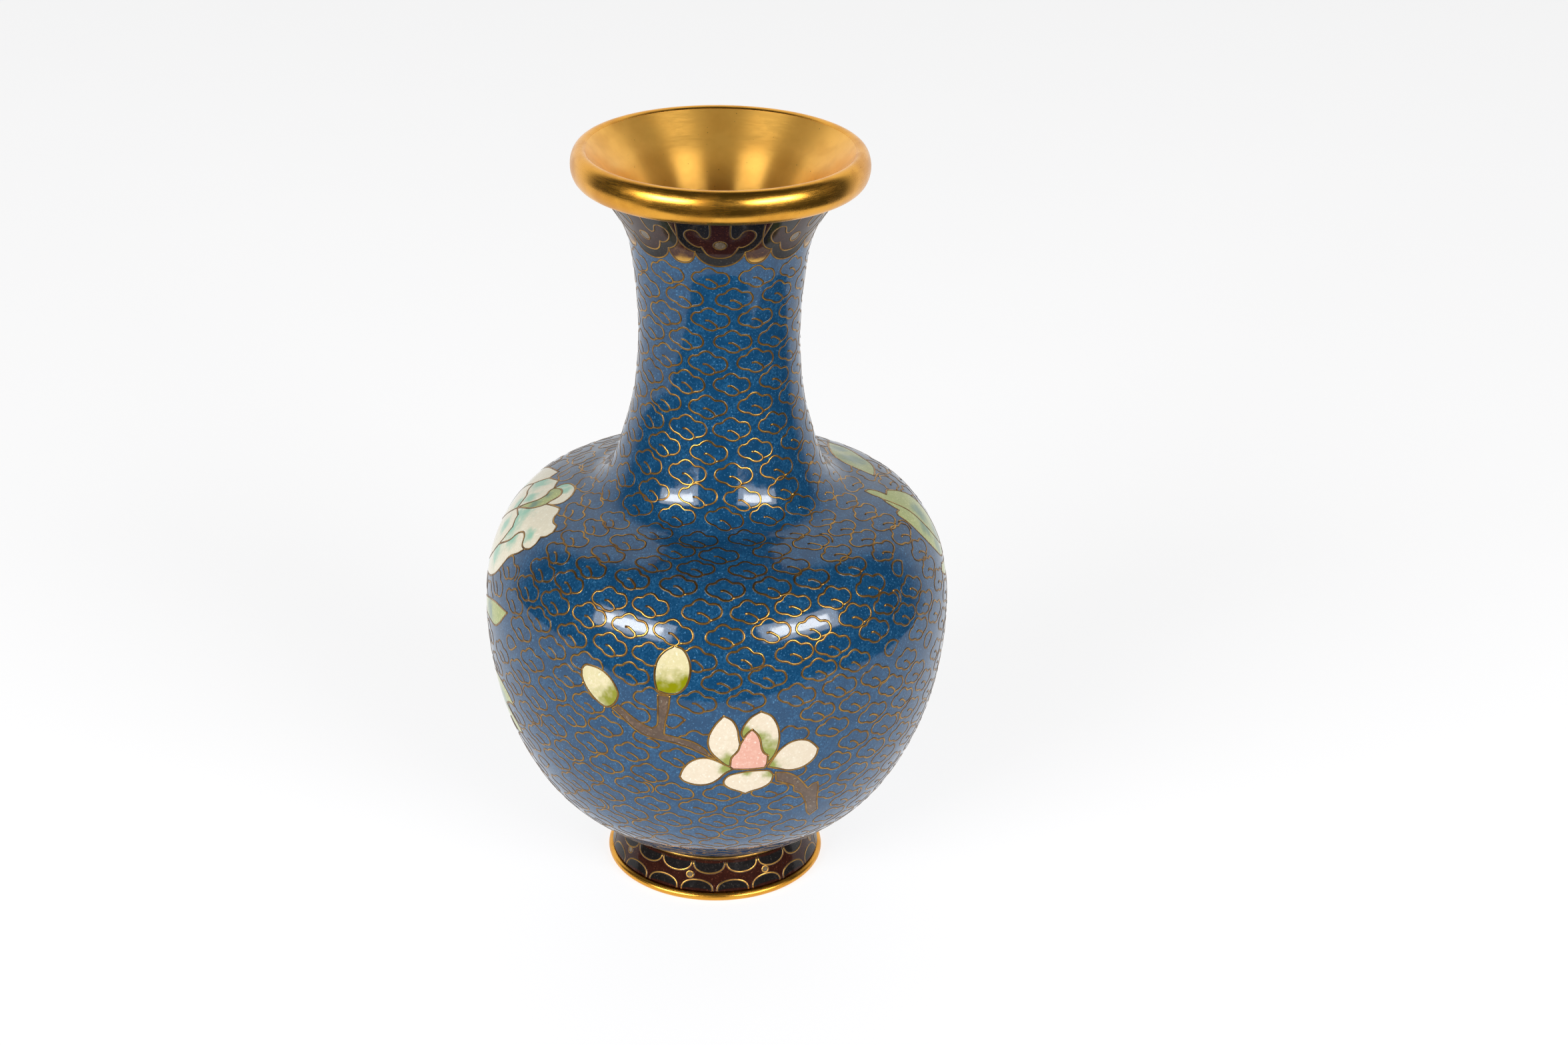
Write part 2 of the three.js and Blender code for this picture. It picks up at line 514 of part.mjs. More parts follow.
function makeFootRim() {
  const roll = FOOT_RIM_HEIGHT / 2;
  const bead = steps(-Math.PI / 2, Math.PI / 2, FOOT_RIM_STEPS).map((angle) => new THREE.Vector2(
    FOOT_RIM_RADIUS - roll + roll * Math.cos(angle),
    roll + roll * Math.sin(angle),
  ));
  const inner = [new THREE.Vector2(FOOT_RIM_INNER, FOOT_RIM_HEIGHT), new THREE.Vector2(FOOT_RIM_INNER, 0)];
  return turn(closed([...bead, ...inner]));
}
addPiece("foot_rim", makeFootRim(), gilt);

function makeFootWire() {
  const section = steps(0, 2 * Math.PI, FOOT_WIRE_SIDES).slice(0, -1);
  return turn(closed(section.map((angle) => new THREE.Vector2(
    FOOT_TOP[0] + FOOT_WIRE_RADIUS * Math.cos(angle),
    FOOT_TOP[1] + FOOT_WIRE_RADIUS + FOOT_WIRE_GAP + FOOT_WIRE_RADIUS * Math.sin(angle),
  ))));
}
addPiece("foot_wire_ring", makeFootWire(), wire);

function makeBaseEnamel() {
  const top = FLOOR_BOTTOM - SEAM;
  return turn([
    new THREE.Vector2(0, top - BASE_ENAMEL),
    new THREE.Vector2(BASE_ENAMEL_RADIUS, top - BASE_ENAMEL),
    new THREE.Vector2(BASE_ENAMEL_RADIUS, top),
    new THREE.Vector2(0, top),
  ]);
}
addPiece("base_enamel", makeBaseEnamel(), turquoiseEnamel);

export default vase;
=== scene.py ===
import math
import random

import bmesh
import bpy
import numpy as np
from mathutils import Matrix, Vector
from mathutils.geometry import delaunay_2d_cdt


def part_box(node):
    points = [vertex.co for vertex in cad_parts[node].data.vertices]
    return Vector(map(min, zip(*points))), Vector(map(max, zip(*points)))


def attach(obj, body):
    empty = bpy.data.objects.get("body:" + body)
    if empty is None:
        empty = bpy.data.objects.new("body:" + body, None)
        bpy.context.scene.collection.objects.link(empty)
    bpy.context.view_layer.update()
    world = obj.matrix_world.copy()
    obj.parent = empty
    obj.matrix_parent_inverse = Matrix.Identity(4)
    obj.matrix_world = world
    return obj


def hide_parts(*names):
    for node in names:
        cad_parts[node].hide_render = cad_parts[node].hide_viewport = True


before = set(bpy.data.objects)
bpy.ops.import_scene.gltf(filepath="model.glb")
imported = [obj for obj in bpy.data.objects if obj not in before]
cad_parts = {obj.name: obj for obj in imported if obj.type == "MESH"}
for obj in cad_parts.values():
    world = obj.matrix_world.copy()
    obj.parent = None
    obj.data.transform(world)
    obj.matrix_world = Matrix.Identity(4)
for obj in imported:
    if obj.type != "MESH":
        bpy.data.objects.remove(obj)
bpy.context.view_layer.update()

# Looks of the cloisonne bottle vase. Lengths are millimetres and angles degrees; MM turns a
# length into metres. A spot on the vase is [angle, distance]: the angle goes round from the
# front, positive towards +X, and the distance goes up the enamelled face from the foot.
MM = 0.001
rng = random.Random(7)

# ---------------------------------------------------------------- sizes

# Enamelled face of the body from the foot to the lip: [radius, height].
WALL_POINTS = [
    [18.3, 8.9], [27.2, 14.3], [36.4, 24.0], [43.1, 39.0], [45.6, 55.7],
    [44.2, 69.0], [38.5, 78.2], [30.3, 81.5], [24.8, 82.9], [21.4, 86.0],
    [19.0, 92.0], [16.4, 102.0], [15.4, 114.3], [16.2, 127.0], [18.0, 135.7],
    [22.9, 143.4], [24.9, 145.4],
]
ENAMEL = 1.0
GROUND_START = 0.6
COLLAR_BOTTOM = 149.5
COLLAR_TOP = 162.9
LIP_ACROSS = 1.95  # half the width and height of the lip's oval section
LIP_UP = 3.21
LIP_FROM = -115  # degrees round the oval, from its underside over the top
LIP_CREST = 118  # where the funnel meets it
LIP_LEDGE = [1.2, -0.5]  # from the end of the roll to its hidden inner edge
FUNNEL_DEPTH = 3.9
FUNNEL_START = 129.3
FUNNEL_END = 158.3
FUNNEL_WALL = [0.7, -0.1]  # from the funnel's bright face to its back
FUNNEL_LAP = [0.04, 0.0]  # how far the funnel stands clear of the roll where they meet
FOOT_ENAMEL = 0.8
FOOT_RIM_INNER = 18.9
SOLDER_WALL = (17.85, 17.1)  # outer and inner radius of the solder behind the foot's wire ring
SOLDER_BELOW = 0.35  # how far it reaches down behind the foot enamel
TURN_SIDES = 160

WIRE_WIDTH = 0.27  # bright top of a wire
WIRE_EDGE = 0.14  # dark side of a wire
WIRE_RISE = 0.05  # how far a wire stands above the enamel
WIRE_SINK = 0.03

CLOUD_ROW = 4.33  # distance between rows of clouds
CLOUD_PITCH = 8.9  # distance between clouds in a row
CLOUD_TOP = 2.5  # first row below the collar
CLOUD_END = 1.5  # no row starts below this
NECK_BELOW = 20  # rows with a smaller radius are the neck's, with an angle of their own
NECK_ANGLE = 9.4
BODY_ANGLE = 1.5
STEADY_FROM = 108  # above this the clouds are laid more evenly
MOTIF_BELOW = 103  # teardrops and side arcs are mixed in below this
# Each stretch of cloud wires, and the distance above which it starts.
CLOUD_BANDS = [
    ("cloud_wires_neck", 103), ("cloud_wires_shoulder", 71),
    ("cloud_wires_belly", 33), ("cloud_wires_lower", 0),
]


def node_size(name):
    """The widest radius of a CAD node, and its lowest and highest points, in millimetres."""
    low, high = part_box(name)
    return high[0] / MM, low[2] / MM, high[2] / MM


lip_outer, _, lip_top = node_size("lip_roll")
LIP_CENTRE = [lip_outer - LIP_ACROSS, lip_top - LIP_UP]
rim_radius, _, rim_height = node_size("foot_rim")
band_radius, band_bottom, band_top = node_size("foot_band")
ring_radius, ring_bottom, ring_top = node_size("foot_wire_ring")
RING_SECTION = (ring_top - ring_bottom) / 2
base_radius, base_bottom, base_top = node_size("base_enamel")

# ---------------------------------------------------------------- curves and faces


def spline(points, per_span=60):
    """A uniform Catmull-Rom curve through the points."""
    points = np.array(points, float)
    count = len(points)
    shares = np.linspace(0, 1, per_span, endpoint=False)[:, None]
    spans = []
    for i in range(count - 1):
        before, start, end, after = (points[min(max(k, 0), count - 1)] for k in range(i - 1, i + 3))
        v0 = (end - before) / 2
        v1 = (after - start) / 2
        cubic = 2 * (start - end) + v0 + v1
        square = 3 * (end - start) - 2 * v0 - v1
        spans.append(((cubic * shares + square) * shares + v0) * shares + start)
    return np.concatenate([*spans, points[-1:]])


class Face:
    """An enamelled face, turned from an outline of [radius, height] that starts at its lower edge."""

    def __init__(self, outline):
        self.outline = outline
        self.distance = np.concatenate([[0], np.cumsum(np.hypot(*np.diff(outline, axis=0).T))])
        along = np.gradient(outline, axis=0)
        self.along = along / np.linalg.norm(along, axis=1)[:, None]

    def read(self, table, distance):
        return np.stack([np.interp(distance, self.distance, column) for column in table.T], axis=1)

    def section(self, distance, depth=0.0):
        """[radius, height] at that distance, and at that depth below the face."""
        distance = np.atleast_1d(distance)
        point = self.read(self.outline, distance)
        along = self.read(self.along, distance)
        return point + np.stack([-along[:, 1], along[:, 0]], axis=1) * np.reshape(depth, (-1, 1))

    def place(self, spots, depth=0.0):
        radius, height = self.section(spots[:, 1], depth).T
        angle = np.radians(spots[:, 0])
        return np.stack([radius * np.sin(angle), -radius * np.cos(angle), height], axis=1)

    def normals(self, spots):
        along = self.read(self.along, spots[:, 1])
        angle = np.radians(spots[:, 0])
        out = np.stack([along[:, 1] * np.sin(angle), -along[:, 1] * np.cos(angle), -along[:, 0]], axis=1)
        return out / np.linalg.norm(out, axis=1)[:, None]

    def per_degree(self, distance):
        """Millimetres round the face in one degree, at that distance."""
        return np.radians(self.section(distance)[:, 0])


wall = Face(spline(WALL_POINTS))
foot_bottom_point = np.array([band_radius, band_bottom])
foot_top_point = np.array([ring_radius - RING_SECTION, band_top])
foot = Face(np.linspace(foot_bottom_point, foot_top_point, 40))
FOOT_LENGTH = foot.distance[-1]

# ---------------------------------------------------------------- outlines

RUYI_HEADS = 8
RUYI_PITCH = 360 / RUYI_HEADS
HALF_PITCH = RUYI_PITCH / 2

# Halves of the collar's outlines, from the middle of the motif outwards.
HEAD_LOWER = [[0, 149.5], [5, 149.7], [9, 150.2], [12, 151.0], [13.8, 151.9], [14.4, 152.7]]
HEAD_UPPER = [[14.4, 152.7], [15.6, 152.8], [19, 153.5], [21.4, 154.7], [22.5, 156.1]]
HEAD_SIDE = [[22.5, 156.1], [21.8, 157.7], [20.2, COLLAR_TOP]]
PENDANT_EDGE = [[14.4, 152.7], [14.9, 151.7], [16.4, 150.7], [19, 150.0], [22.5, 149.8]]
FIELD_HALF = [
    [0, 151.4], [4.5, 151.6], [7.6, 152.3], [9.5, 153.5], [10.3, 154.2], [11.3, 154.0], [14.0, 154.3],
    [16.8, 155.3], [18.2, 156.8], [17.2, 158.2], [14.5, 159.0], [11.9, 158.8], [10.5, 157.9], [9.4, 156.9],
    [7.4, 156.5], [5.6, 157.1], [4.9, 158.3], [4.9, COLLAR_TOP],
]
FIELD_DOT = [0, 154.7, 1.15]  # angle, distance and radius of the spot in each head

# Edges that two pieces share are written once, and each piece joins them to its own points.
PISTIL_LEFT = [[3.4, 45.8], [3.5, 46.6], [3.75, 48.0], [4.6, 48.9], [5.3, 49.7], [5.75, 51.1]]
PISTIL_TOP = [[6.5, 52.3], [7.3, 53.4], [8.5, 54.3], [9.7, 53.2], [10.5, 51.8]]
PISTIL_RIGHT = [[10.9, 50.0], [11.5, 48.8], [12.6, 48.0], [12.5, 46.0]]
PEONY_CROWN = [[-79.3, 87.0], [-80.6, 87.9], [-81.6, 89.2], [-84.0, 90.3], [-88.0, 90.2], [-90.3, 88.8]]
PEONY_THROAT = [[-89.0, 87.9], [-86.4, 87.3], [-84.6, 85.5], [-85.6, 83.0], [-87.6, 80.7]]
PEONY_FOLD = [[-82.6, 80.8], [-81.6, 79.9], [-79.4, 78.9], [-80.0, 76.0], [-81.2, 74.0]]
PEONY_CURL = [[-75.2, 77.4], [-74.2, 78.9], [-73.0, 80.0], [-71.2, 80.6], [-69.4, 80.2], [-67.4, 78.8]]
PEONY_KEEL = [[-84.6, 70.7], [-90.0, 67.4], [-96.0, 65.3]]
PEONY_HEART = [[-90.0, 82.3], [-92.4, 82.9], [-95.4, 82.8], [-99.4, 83.6]]
PEONY_BACK = [[-92.0, 77.4], [-97.0, 73.9], [-101.5, 72.5]]
LEAF_MIDRIB = [[83.8, 88.5], [83.2, 84.5], [83.4, 80.3], [85.2, 76.2], [88.4, 72.7], [92.0, 70.7]]

OUTLINES = {
    "magnolia_pistil": [
        [8.2, 45.0], [4.2, 45.2], *PISTIL_LEFT, *PISTIL_TOP, *PISTIL_RIGHT, [12.0, 45.1],
    ],
    "magnolia_petal_1": [
        [1.75, 57.5], [-0.25, 55.5], [-1.6, 53.2], [-1.9, 51.2], [-1.2, 49.4], [0.4, 47.8], [2.3, 46.3],
        *PISTIL_LEFT, [5.4, 52.4], [5.0, 54.5], [3.7, 56.5],
    ],
    "magnolia_petal_2": [
        [10.5, 58.1], [8.2, 57.0], [6.7, 55.4], [5.9, 53.6], *PISTIL_TOP, *PISTIL_RIGHT,
        [14.2, 48.0], [15.0, 50.2], [15.1, 52.7], [14.4, 55.0], [12.9, 57.0],
    ],
    "magnolia_petal_3": [
        [12.7, 45.2], [14.0, 47.2], [15.6, 49.1], [17.6, 50.3], [20.0, 50.7], [22.4, 50.2], [24.2, 49.0],
        [25.5, 47.7], [25.0, 45.9], [23.4, 44.5], [21.0, 43.7], [18.0, 43.7], [15.4, 44.5],
    ],
    "magnolia_petal_4": [
        [4.2, 45.2], [3.4, 45.8], [2.3, 46.3], [0.2, 47.3], [-1.8, 47.9], [-4.0, 47.8], [-6.3, 46.8],
        [-8.0, 45.0], [-8.9, 43.0], [-8.2, 42.1], [-6.4, 41.4], [-4.0, 41.1], [-1.5, 41.5], [0.5, 42.6],
        [2.3, 44.2],
    ],
    "magnolia_petal_5": [
        [7.5, 38.6], [6.0, 39.3], [3.6, 40.2], [2.2, 41.2], [2.0, 42.4], [3.2, 43.6], [5.5, 44.2],
        [8.2, 44.5], [11.0, 44.5], [13.2, 44.2], [14.4, 43.0], [13.8, 41.2], [12.0, 40.0], [9.0, 39.2],
    ],
    "magnolia_bud_1": [
        [-13.9, 62.0], [-14.5, 64.1], [-14.5, 66.4], [-13.8, 68.4], [-12.2, 70.0], [-10.0, 71.1],
        [-8.0, 70.5], [-6.5, 68.6], [-6.1, 66.8], [-6.4, 64.8], [-7.3, 63.1], [-9.2, 61.8], [-11.5, 61.6],
    ],
    "magnolia_bud_2": [
        [-33.4, 63.2], [-32.4, 64.2], [-30.5, 64.4], [-28.0, 64.1], [-26.0, 63.2], [-24.5, 61.8],
        [-23.5, 60.0], [-24.0, 58.4], [-25.4, 57.0], [-26.8, 56.6], [-28.6, 57.1], [-30.6, 58.3],
        [-32.4, 60.0], [-33.3, 61.6],
    ],
    "branch_left": [
        [-13.7, 61.2], [-10.8, 61.2], [-11.2, 58.3], [-12.0, 55.2], [-12.3, 52.8], [-9.0, 52.3],
        [-5.5, 51.6], [-2.6, 50.0], [-1.6, 48.9], [0.0, 47.7], [-1.8, 48.2], [-4.0, 49.2], [-7.0, 50.3],
        [-11.0, 51.2], [-15.0, 51.6], [-18.5, 52.5], [-21.5, 54.3], [-23.7, 55.8], [-25.2, 56.6],
        [-23.6, 57.6], [-22.2, 56.9], [-20.0, 55.6], [-17.0, 54.3], [-15.2, 53.8], [-14.0, 54.6],
        [-13.7, 57.2],
    ],
    "branch_right": [
        [14.8, 43.6], [17.5, 43.2], [20.0, 42.0], [22.0, 40.3], [24.4, 37.7], [25.7, 38.7], [27.0, 38.8],
        [27.6, 37.2], [28.2, 34.1], [29.0, 31.8], [29.9, 29.9], [28.0, 28.4], [26.4, 30.0], [25.0, 33.2],
        [23.8, 35.0], [22.4, 36.7], [20.5, 37.8], [20.2, 39.1], [18.4, 40.1], [15.2, 41.3],
    ],
    "peony_petal_1": [
        [-91.9, 90.5], [-91.0, 91.9], [-87.0, 93.0], [-83.0, 92.9], [-78.6, 91.8], [-76.4, 90.2],
        [-77.0, 88.4], *PEONY_CROWN,
    ],
    "peony_petal_2": [*PEONY_CROWN, *PEONY_THROAT, [-85.0, 82.0], [-81.0, 83.8], [-79.5, 85.5]],
    "peony_petal_3": [
        [-79.3, 87.0], [-76.0, 88.3], [-73.0, 89.1], [-70.5, 88.3], [-68.5, 87.1], [-65.5, 86.3],
        [-63.0, 86.3], [-60.8, 84.9], [-61.2, 83.3], [-62.7, 82.5], [-62.2, 81.1], [-63.1, 79.5],
        [-65.2, 78.7], *PEONY_CURL[::-1], [-81.2, 74.0], *PEONY_FOLD[-2::-1], [-87.6, 80.7],
        [-85.0, 82.0], [-81.0, 83.8], [-79.5, 85.5],
    ],
    "peony_petal_4": [
        [-65.2, 78.7], [-67.0, 77.1], [-70.0, 75.4], [-71.5, 73.5], [-73.5, 71.0], [-76.0, 69.2],
        [-80.0, 67.5], [-85.0, 66.2], [-91.0, 64.6], *PEONY_KEEL[::-1], [-81.2, 74.0], *PEONY_CURL,
    ],
    "peony_petal_5": [[-87.6, 80.7], *PEONY_FOLD, *PEONY_KEEL, [-100.6, 66.4], *PEONY_BACK[::-1]],
    "peony_petal_6": [[-87.6, 80.7], *PEONY_HEART, [-103.6, 78.2], *PEONY_BACK[::-1]],
    "peony_petal_7": [[-90.3, 88.8], *PEONY_THROAT, *PEONY_HEART, [-100.4, 86.9], [-96.6, 89.3]],
    "peony_petal_8": [
        [-99.4, 83.6], [-103.6, 78.2], [-101.5, 72.5], [-100.6, 66.4], [-106.0, 64.8], [-112.0, 66.6],
        [-117.0, 71.6], [-116.0, 78.8], [-111.0, 84.5], [-105.0, 88.1], [-100.4, 86.9],
    ],
    "leaf_left_upper": [
        [-62.3, 66.0], [-64.0, 64.5], [-66.5, 62.4], [-70.0, 60.5], [-75.0, 59.8], [-80.0, 59.2],
        [-85.0, 58.4], [-90.0, 58.2], [-86.0, 60.8], [-81.0, 62.6], [-76.0, 64.1], [-70.0, 65.4],
    ],
    "leaf_left_lower": [
        [-62.5, 45.3], [-65.0, 46.9], [-68.0, 47.9], [-72.0, 48.3], [-76.0, 48.0], [-80.0, 46.8],
        [-84.0, 44.4], [-87.2, 40.8], [-88.8, 37.0], [-88.5, 34.2], [-84.2, 36.2], [-84.6, 29.8],
        [-80.5, 31.6], [-76.0, 36.6], [-70.5, 39.4], [-66.0, 37.4], [-62.3, 38.8], [-64.5, 40.8],
        [-69.8, 43.0], [-66.4, 44.6],
    ],
    "leaf_right_near": [
        [75.9, 82.9], [76.3, 84.7], [77.6, 85.2], [80.0, 85.0], [80.6, 86.3], [82.4, 87.9],
        *LEAF_MIDRIB, [88.0, 70.1], [85.0, 70.7], [82.4, 72.0], [80.0, 74.1], [78.0, 76.5], [76.5, 79.2],
    ],
    "leaf_right_far": [
        *LEAF_MIDRIB, [94.6, 74.1], [95.6, 78.2], [95.4, 82.4], [94.0, 85.7], [92.2, 87.7],
        [88.4, 87.9], [89.3, 89.9], [88.0, 91.7], [85.9, 92.2], [84.8, 91.1], [84.4, 89.3],
    ],
    "leaf_right_narrow": [
        [79.4, 69.3], [81.4, 70.3], [84.6, 69.5], [88.0, 68.8], [93.0, 67.6], [98.5, 65.4], [94.0, 64.8],
        [89.0, 65.6], [85.0, 66.6], [82.0, 67.7],
    ],
    "leaf_back_shoulder": [
        [103.0, 89.1], [108.0, 92.1], [115.0, 93.7], [123.0, 93.5], [131.0, 91.3], [138.0, 87.5],
        [131.0, 86.5], [122.0, 86.9], [113.0, 87.1],
    ],
    "branch_back": [
        [-117.6, 70.5], [-124.0, 66.8], [-134.0, 63.4], [-148.0, 61.2], [-160.0, 60.6], [-172.0, 62.0],
        [-182.6, 65.6], [-183.4, 63.8], [-173.0, 59.8], [-160.0, 58.2], [-147.0, 58.8], [-133.0, 61.0],
        [-123.0, 64.4], [-116.6, 68.0],
    ],
    "bud_back": [
        [-183.6, 63.2], [-183.2, 66.4], [-185.2, 70.5], [-189.6, 73.1], [-194.4, 72.5], [-197.2, 69.1],
        [-197.0, 64.8], [-193.6, 61.6], [-188.4, 60.8],
    ],
    "leaf_back_hanging": [
        [-148.0, 57.8], [-143.6, 53.0], [-141.0, 46.4], [-142.6, 39.4], [-148.0, 33.6], [-153.4, 39.0],
        [-155.6, 46.0], [-153.6, 53.0],
    ],
}

# One cloud's wire in millimetres from its middle, from the end of its curl round its lobes.
CLOUD = [
    [-0.79, -0.27], [-0.10, -0.27], [0.60, -0.73], [1.28, -1.27], [1.42, -1.73], [0.98, -2.20],
    [0.20, -2.30], [-0.79, -2.10], [-1.57, -1.50], [-2.56, -1.27], [-3.35, -0.80], [-3.74, -0.14],
    [-3.50, 0.64], [-2.95, 1.20], [-1.97, 1.30], [-1.40, 1.90], [-0.50, 2.36], [0.40, 2.20],
    [0.98, 1.68], [1.50, 1.30], [2.40, 1.30], [3.15, 1.00], [3.64, 0.20], [3.74, -0.36],
    [3.44, -1.05], [2.76, -1.50], [1.80, -1.70], [1.42, -1.86],
]
TEARDROP = [
    [1.9, 0.5], [0.9, 1.2], [-0.4, 1.3], [-1.3, 0.7], [-1.5, -0.3], [-0.8, -1.1], [0.3, -1.1], [1.9, 0.5],
]
SIDE_ARC = [[2.9, 1.5], [4.0, 1.3], [4.6, 0.5], [4.6, -0.5], [4.1, -1.3]]

# ---------------------------------------------------------------- smooth outlines

CORNER = 48  # an outline that turns by more than this has a sharp corner
WIRE_STEP = 0.45  # length of one straight step of a smooth outline


def same(spot):
    return (round(spot[0], 3), round(spot[1], 3))


def spot_gap(face, a, b):
    """The vector from one spot to another, in millimetres on the face."""
    middle = (a[1] + b[1]) / 2
    return np.array([(b[0] - a[0]) * float(face.per_degree(middle)[0]), b[1] - a[1]])


def turns_sharply(face, before, spot, after):
    come = spot_gap(face, before, spot)
    leave = spot_gap(face, spot, after)
    cosine = come @ leave / (np.linalg.norm(come) * np.linalg.norm(leave))
    return math.degrees(math.acos(max(-1, min(1, cosine)))) > CORNER


def find_corners(face, outlines):
    """Spots where closed outlines turn sharply, or where more than two edges meet."""
    neighbours = {}
    corners = set()
    for outline in outlines:
        count = len(outline)
        for i, spot in enumerate(outline):
            before, after = outline[i - 1], outline[(i + 1) % count]
            neighbours.setdefault(same(spot), set()).update([same(before), same(after)])
            if turns_sharply(face, before, spot, after):
                corners.add(same(spot))
    return corners | {spot for spot, others in neighbours.items() if len(others) > 2}


def smooth_run(face, run):
    """A centripetal Catmull-Rom curve through the spots of an open run."""
    spots = [np.array(spot, float) for spot in run]
    spots = [2 * spots[0] - spots[1], *spots, 2 * spots[-1] - spots[-2]]
    made = []
    for p0, p1, p2, p3 in zip(spots, spots[1:], spots[2:], spots[3:]):
        knots = [0.0]
        for a, b in ((p0, p1), (p1, p2), (p2, p3)):
            knots.append(knots[-1] + max(np.linalg.norm(spot_gap(face, a, b)), 1e-6) ** 0.5)
        t0, t1, t2, t3 = knots
        steps = max(1, round(float(np.linalg.norm(spot_gap(face, p1, p2))) / WIRE_STEP))
        for t in np.linspace(t1, t2, steps, endpoint=False):
            a1 = ((t1 - t) * p0 + (t - t0) * p1) / (t1 - t0)
            a2 = ((t2 - t) * p1 + (t - t1) * p2) / (t2 - t1)
            a3 = ((t3 - t) * p2 + (t - t2) * p3) / (t3 - t2)
            b1 = ((t2 - t) * a1 + (t - t0) * a2) / (t2 - t0)
            b2 = ((t3 - t) * a2 + (t - t1) * a3) / (t3 - t1)
            made.append(((t2 - t) * b1 + (t - t1) * b2) / (t2 - t1))
    return np.array([*made, spots[-2]])


def split_runs(outline, corners):
    """A closed outline as open runs between its corners; without corners, as one closed run."""
    count = len(outline)
    cuts = [i for i in range(count) if same(outline[i]) in corners]
    if not cuts:
        cuts = [min(range(count), key=lambda i: same(outline[i]))]
    runs = []
    for start, end in zip(cuts, [*cuts[1:], cuts[0] + count]):
        runs.append([outline[i % count] for i in range(start, end + 1)])
    return runs


def smooth_outline(face, outline, corners):
    parts = [smooth_run(face, run)[:-1] for run in split_runs(outline, corners)]
    return np.concatenate(parts)


def unique_wires(face, outlines, corners):
    """The smooth runs of all the outlines, with a run that two outlines share taken once."""
    found = {}
    for outline in outlines:
        for run in split_runs(outline, corners):
            key = tuple(same(spot) for spot in run)
            found.setdefault(min(key, key[::-1]), run)
    return [smooth_run(face, run) for run in found.values()]


def circle(face, angle, distance, radius, count=18, squash=1.0):
    """A closed round outline on a face."""
    per_degree = float(face.per_degree(distance)[0])
    turns = np.linspace(0, 2 * math.pi, count, endpoint=False)
    return np.stack([
        angle + radius * np.cos(turns) / per_degree,
        distance + squash * radius * np.sin(turns),
    ], axis=1)


def inside(polygon, spots):
    """Which of the spots lie inside the polygon."""
    x, y = spots[:, 0, None], spots[:, 1, None]
    ax, ay = polygon.T
    bx, by = np.roll(ax, -1), np.roll(ay, -1)
    rise = np.where(by == ay, 1e-12, by - ay)
    crossed = ((ay > y) != (by > y)) & (x < ax + (y - ay) * (bx - ax) / rise)
    return crossed.sum(axis=1) % 2 == 1


# ---------------------------------------------------------------- meshes


def add_object(name, data):
    obj = bpy.data.objects.new(name, data)
    bpy.context.scene.collection.objects.link(obj)
    return obj


def make_object(name, verts, faces, materials, stands_for=()):
    mesh = bpy.data.meshes.new(name)
    mesh.from_pydata((np.asarray(verts) * MM).tolist(), [], [list(map(int, face)) for face in faces])
    for material in materials:
        mesh.materials.append(material)
    obj = add_object(name, mesh)
    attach(obj, "root")
    if stands_for:
        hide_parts(*stands_for)
    return obj


def set_uv(mesh, values):
    layer = mesh.uv_layers.new(name="OFBake")
    layer.data.foreach_set("uv", np.asarray(values, float).ravel())


def fill(outer, holes, spacing, scale):
    """Triangles inside the outer loop and outside the holes, over a grid of inner spots."""
    low, high = outer.min(axis=0), outer.max(axis=0)
    columns = np.arange(low[0] + spacing[0] / 2, high[0], spacing[0])
    rows = np.arange(low[1] + spacing[1] / 2, high[1], spacing[1])
    grid = np.stack(np.meshgrid(columns, rows), axis=-1).reshape(-1, 2)
    loops = [outer, *holes]
    rims = np.concatenate(loops) * [scale, 1]
    clear = inside(outer, grid)
    for hole in holes:
        clear &= ~inside(hole, grid)
    grid = grid[clear]
    gaps = np.array([np.min(np.abs(rims - spot * [scale, 1]).max(axis=1)) for spot in grid])
    grid = grid[gaps > 0.3 * spacing[1]] if len(grid) else grid
    edges = []
    start = 0
    for loop in loops:
        edges += [(start + i, start + (i + 1) % len(loop)) for i in range(len(loop))]
        start += len(loop)
    flat = [Vector((angle * scale, distance)) for angle, distance in np.concatenate([*loops, grid])]
    found = delaunay_2d_cdt(flat, edges, [], 0, 1e-5)
    spots = np.array([[point.x / scale, point.y] for point in found[0]])
    tris = np.array(found[2])
    centres = spots[tris].mean(axis=1)
    keep = inside(outer, centres)
    for hole in holes:
        keep &= ~inside(hole, centres)
    tris = tris[keep]
    a, b, c = (spots[tris[:, i]] for i in range(3))
    area = (b[:, 0] - a[:, 0]) * (c[:, 1] - a[:, 1]) - (c[:, 0] - a[:, 0]) * (b[:, 1] - a[:, 1])
    tris[area < 0] = tris[area < 0][:, ::-1]
    tris = tris[np.abs(area) > 1e-9]
    used = np.unique(tris)
    new_index = np.zeros(len(spots), int)
    new_index[used] = np.arange(len(used))
    return spots[used], new_index[tris]


# A slab's texture: its faces above, its backs and edges in a strip on top; [start, size] of each.
UV_FACES = np.array([[0.005, 0.005], [0.99, 0.92]])
UV_BACKS = np.array([[0.005, 0.945], [0.99, 0.05]])


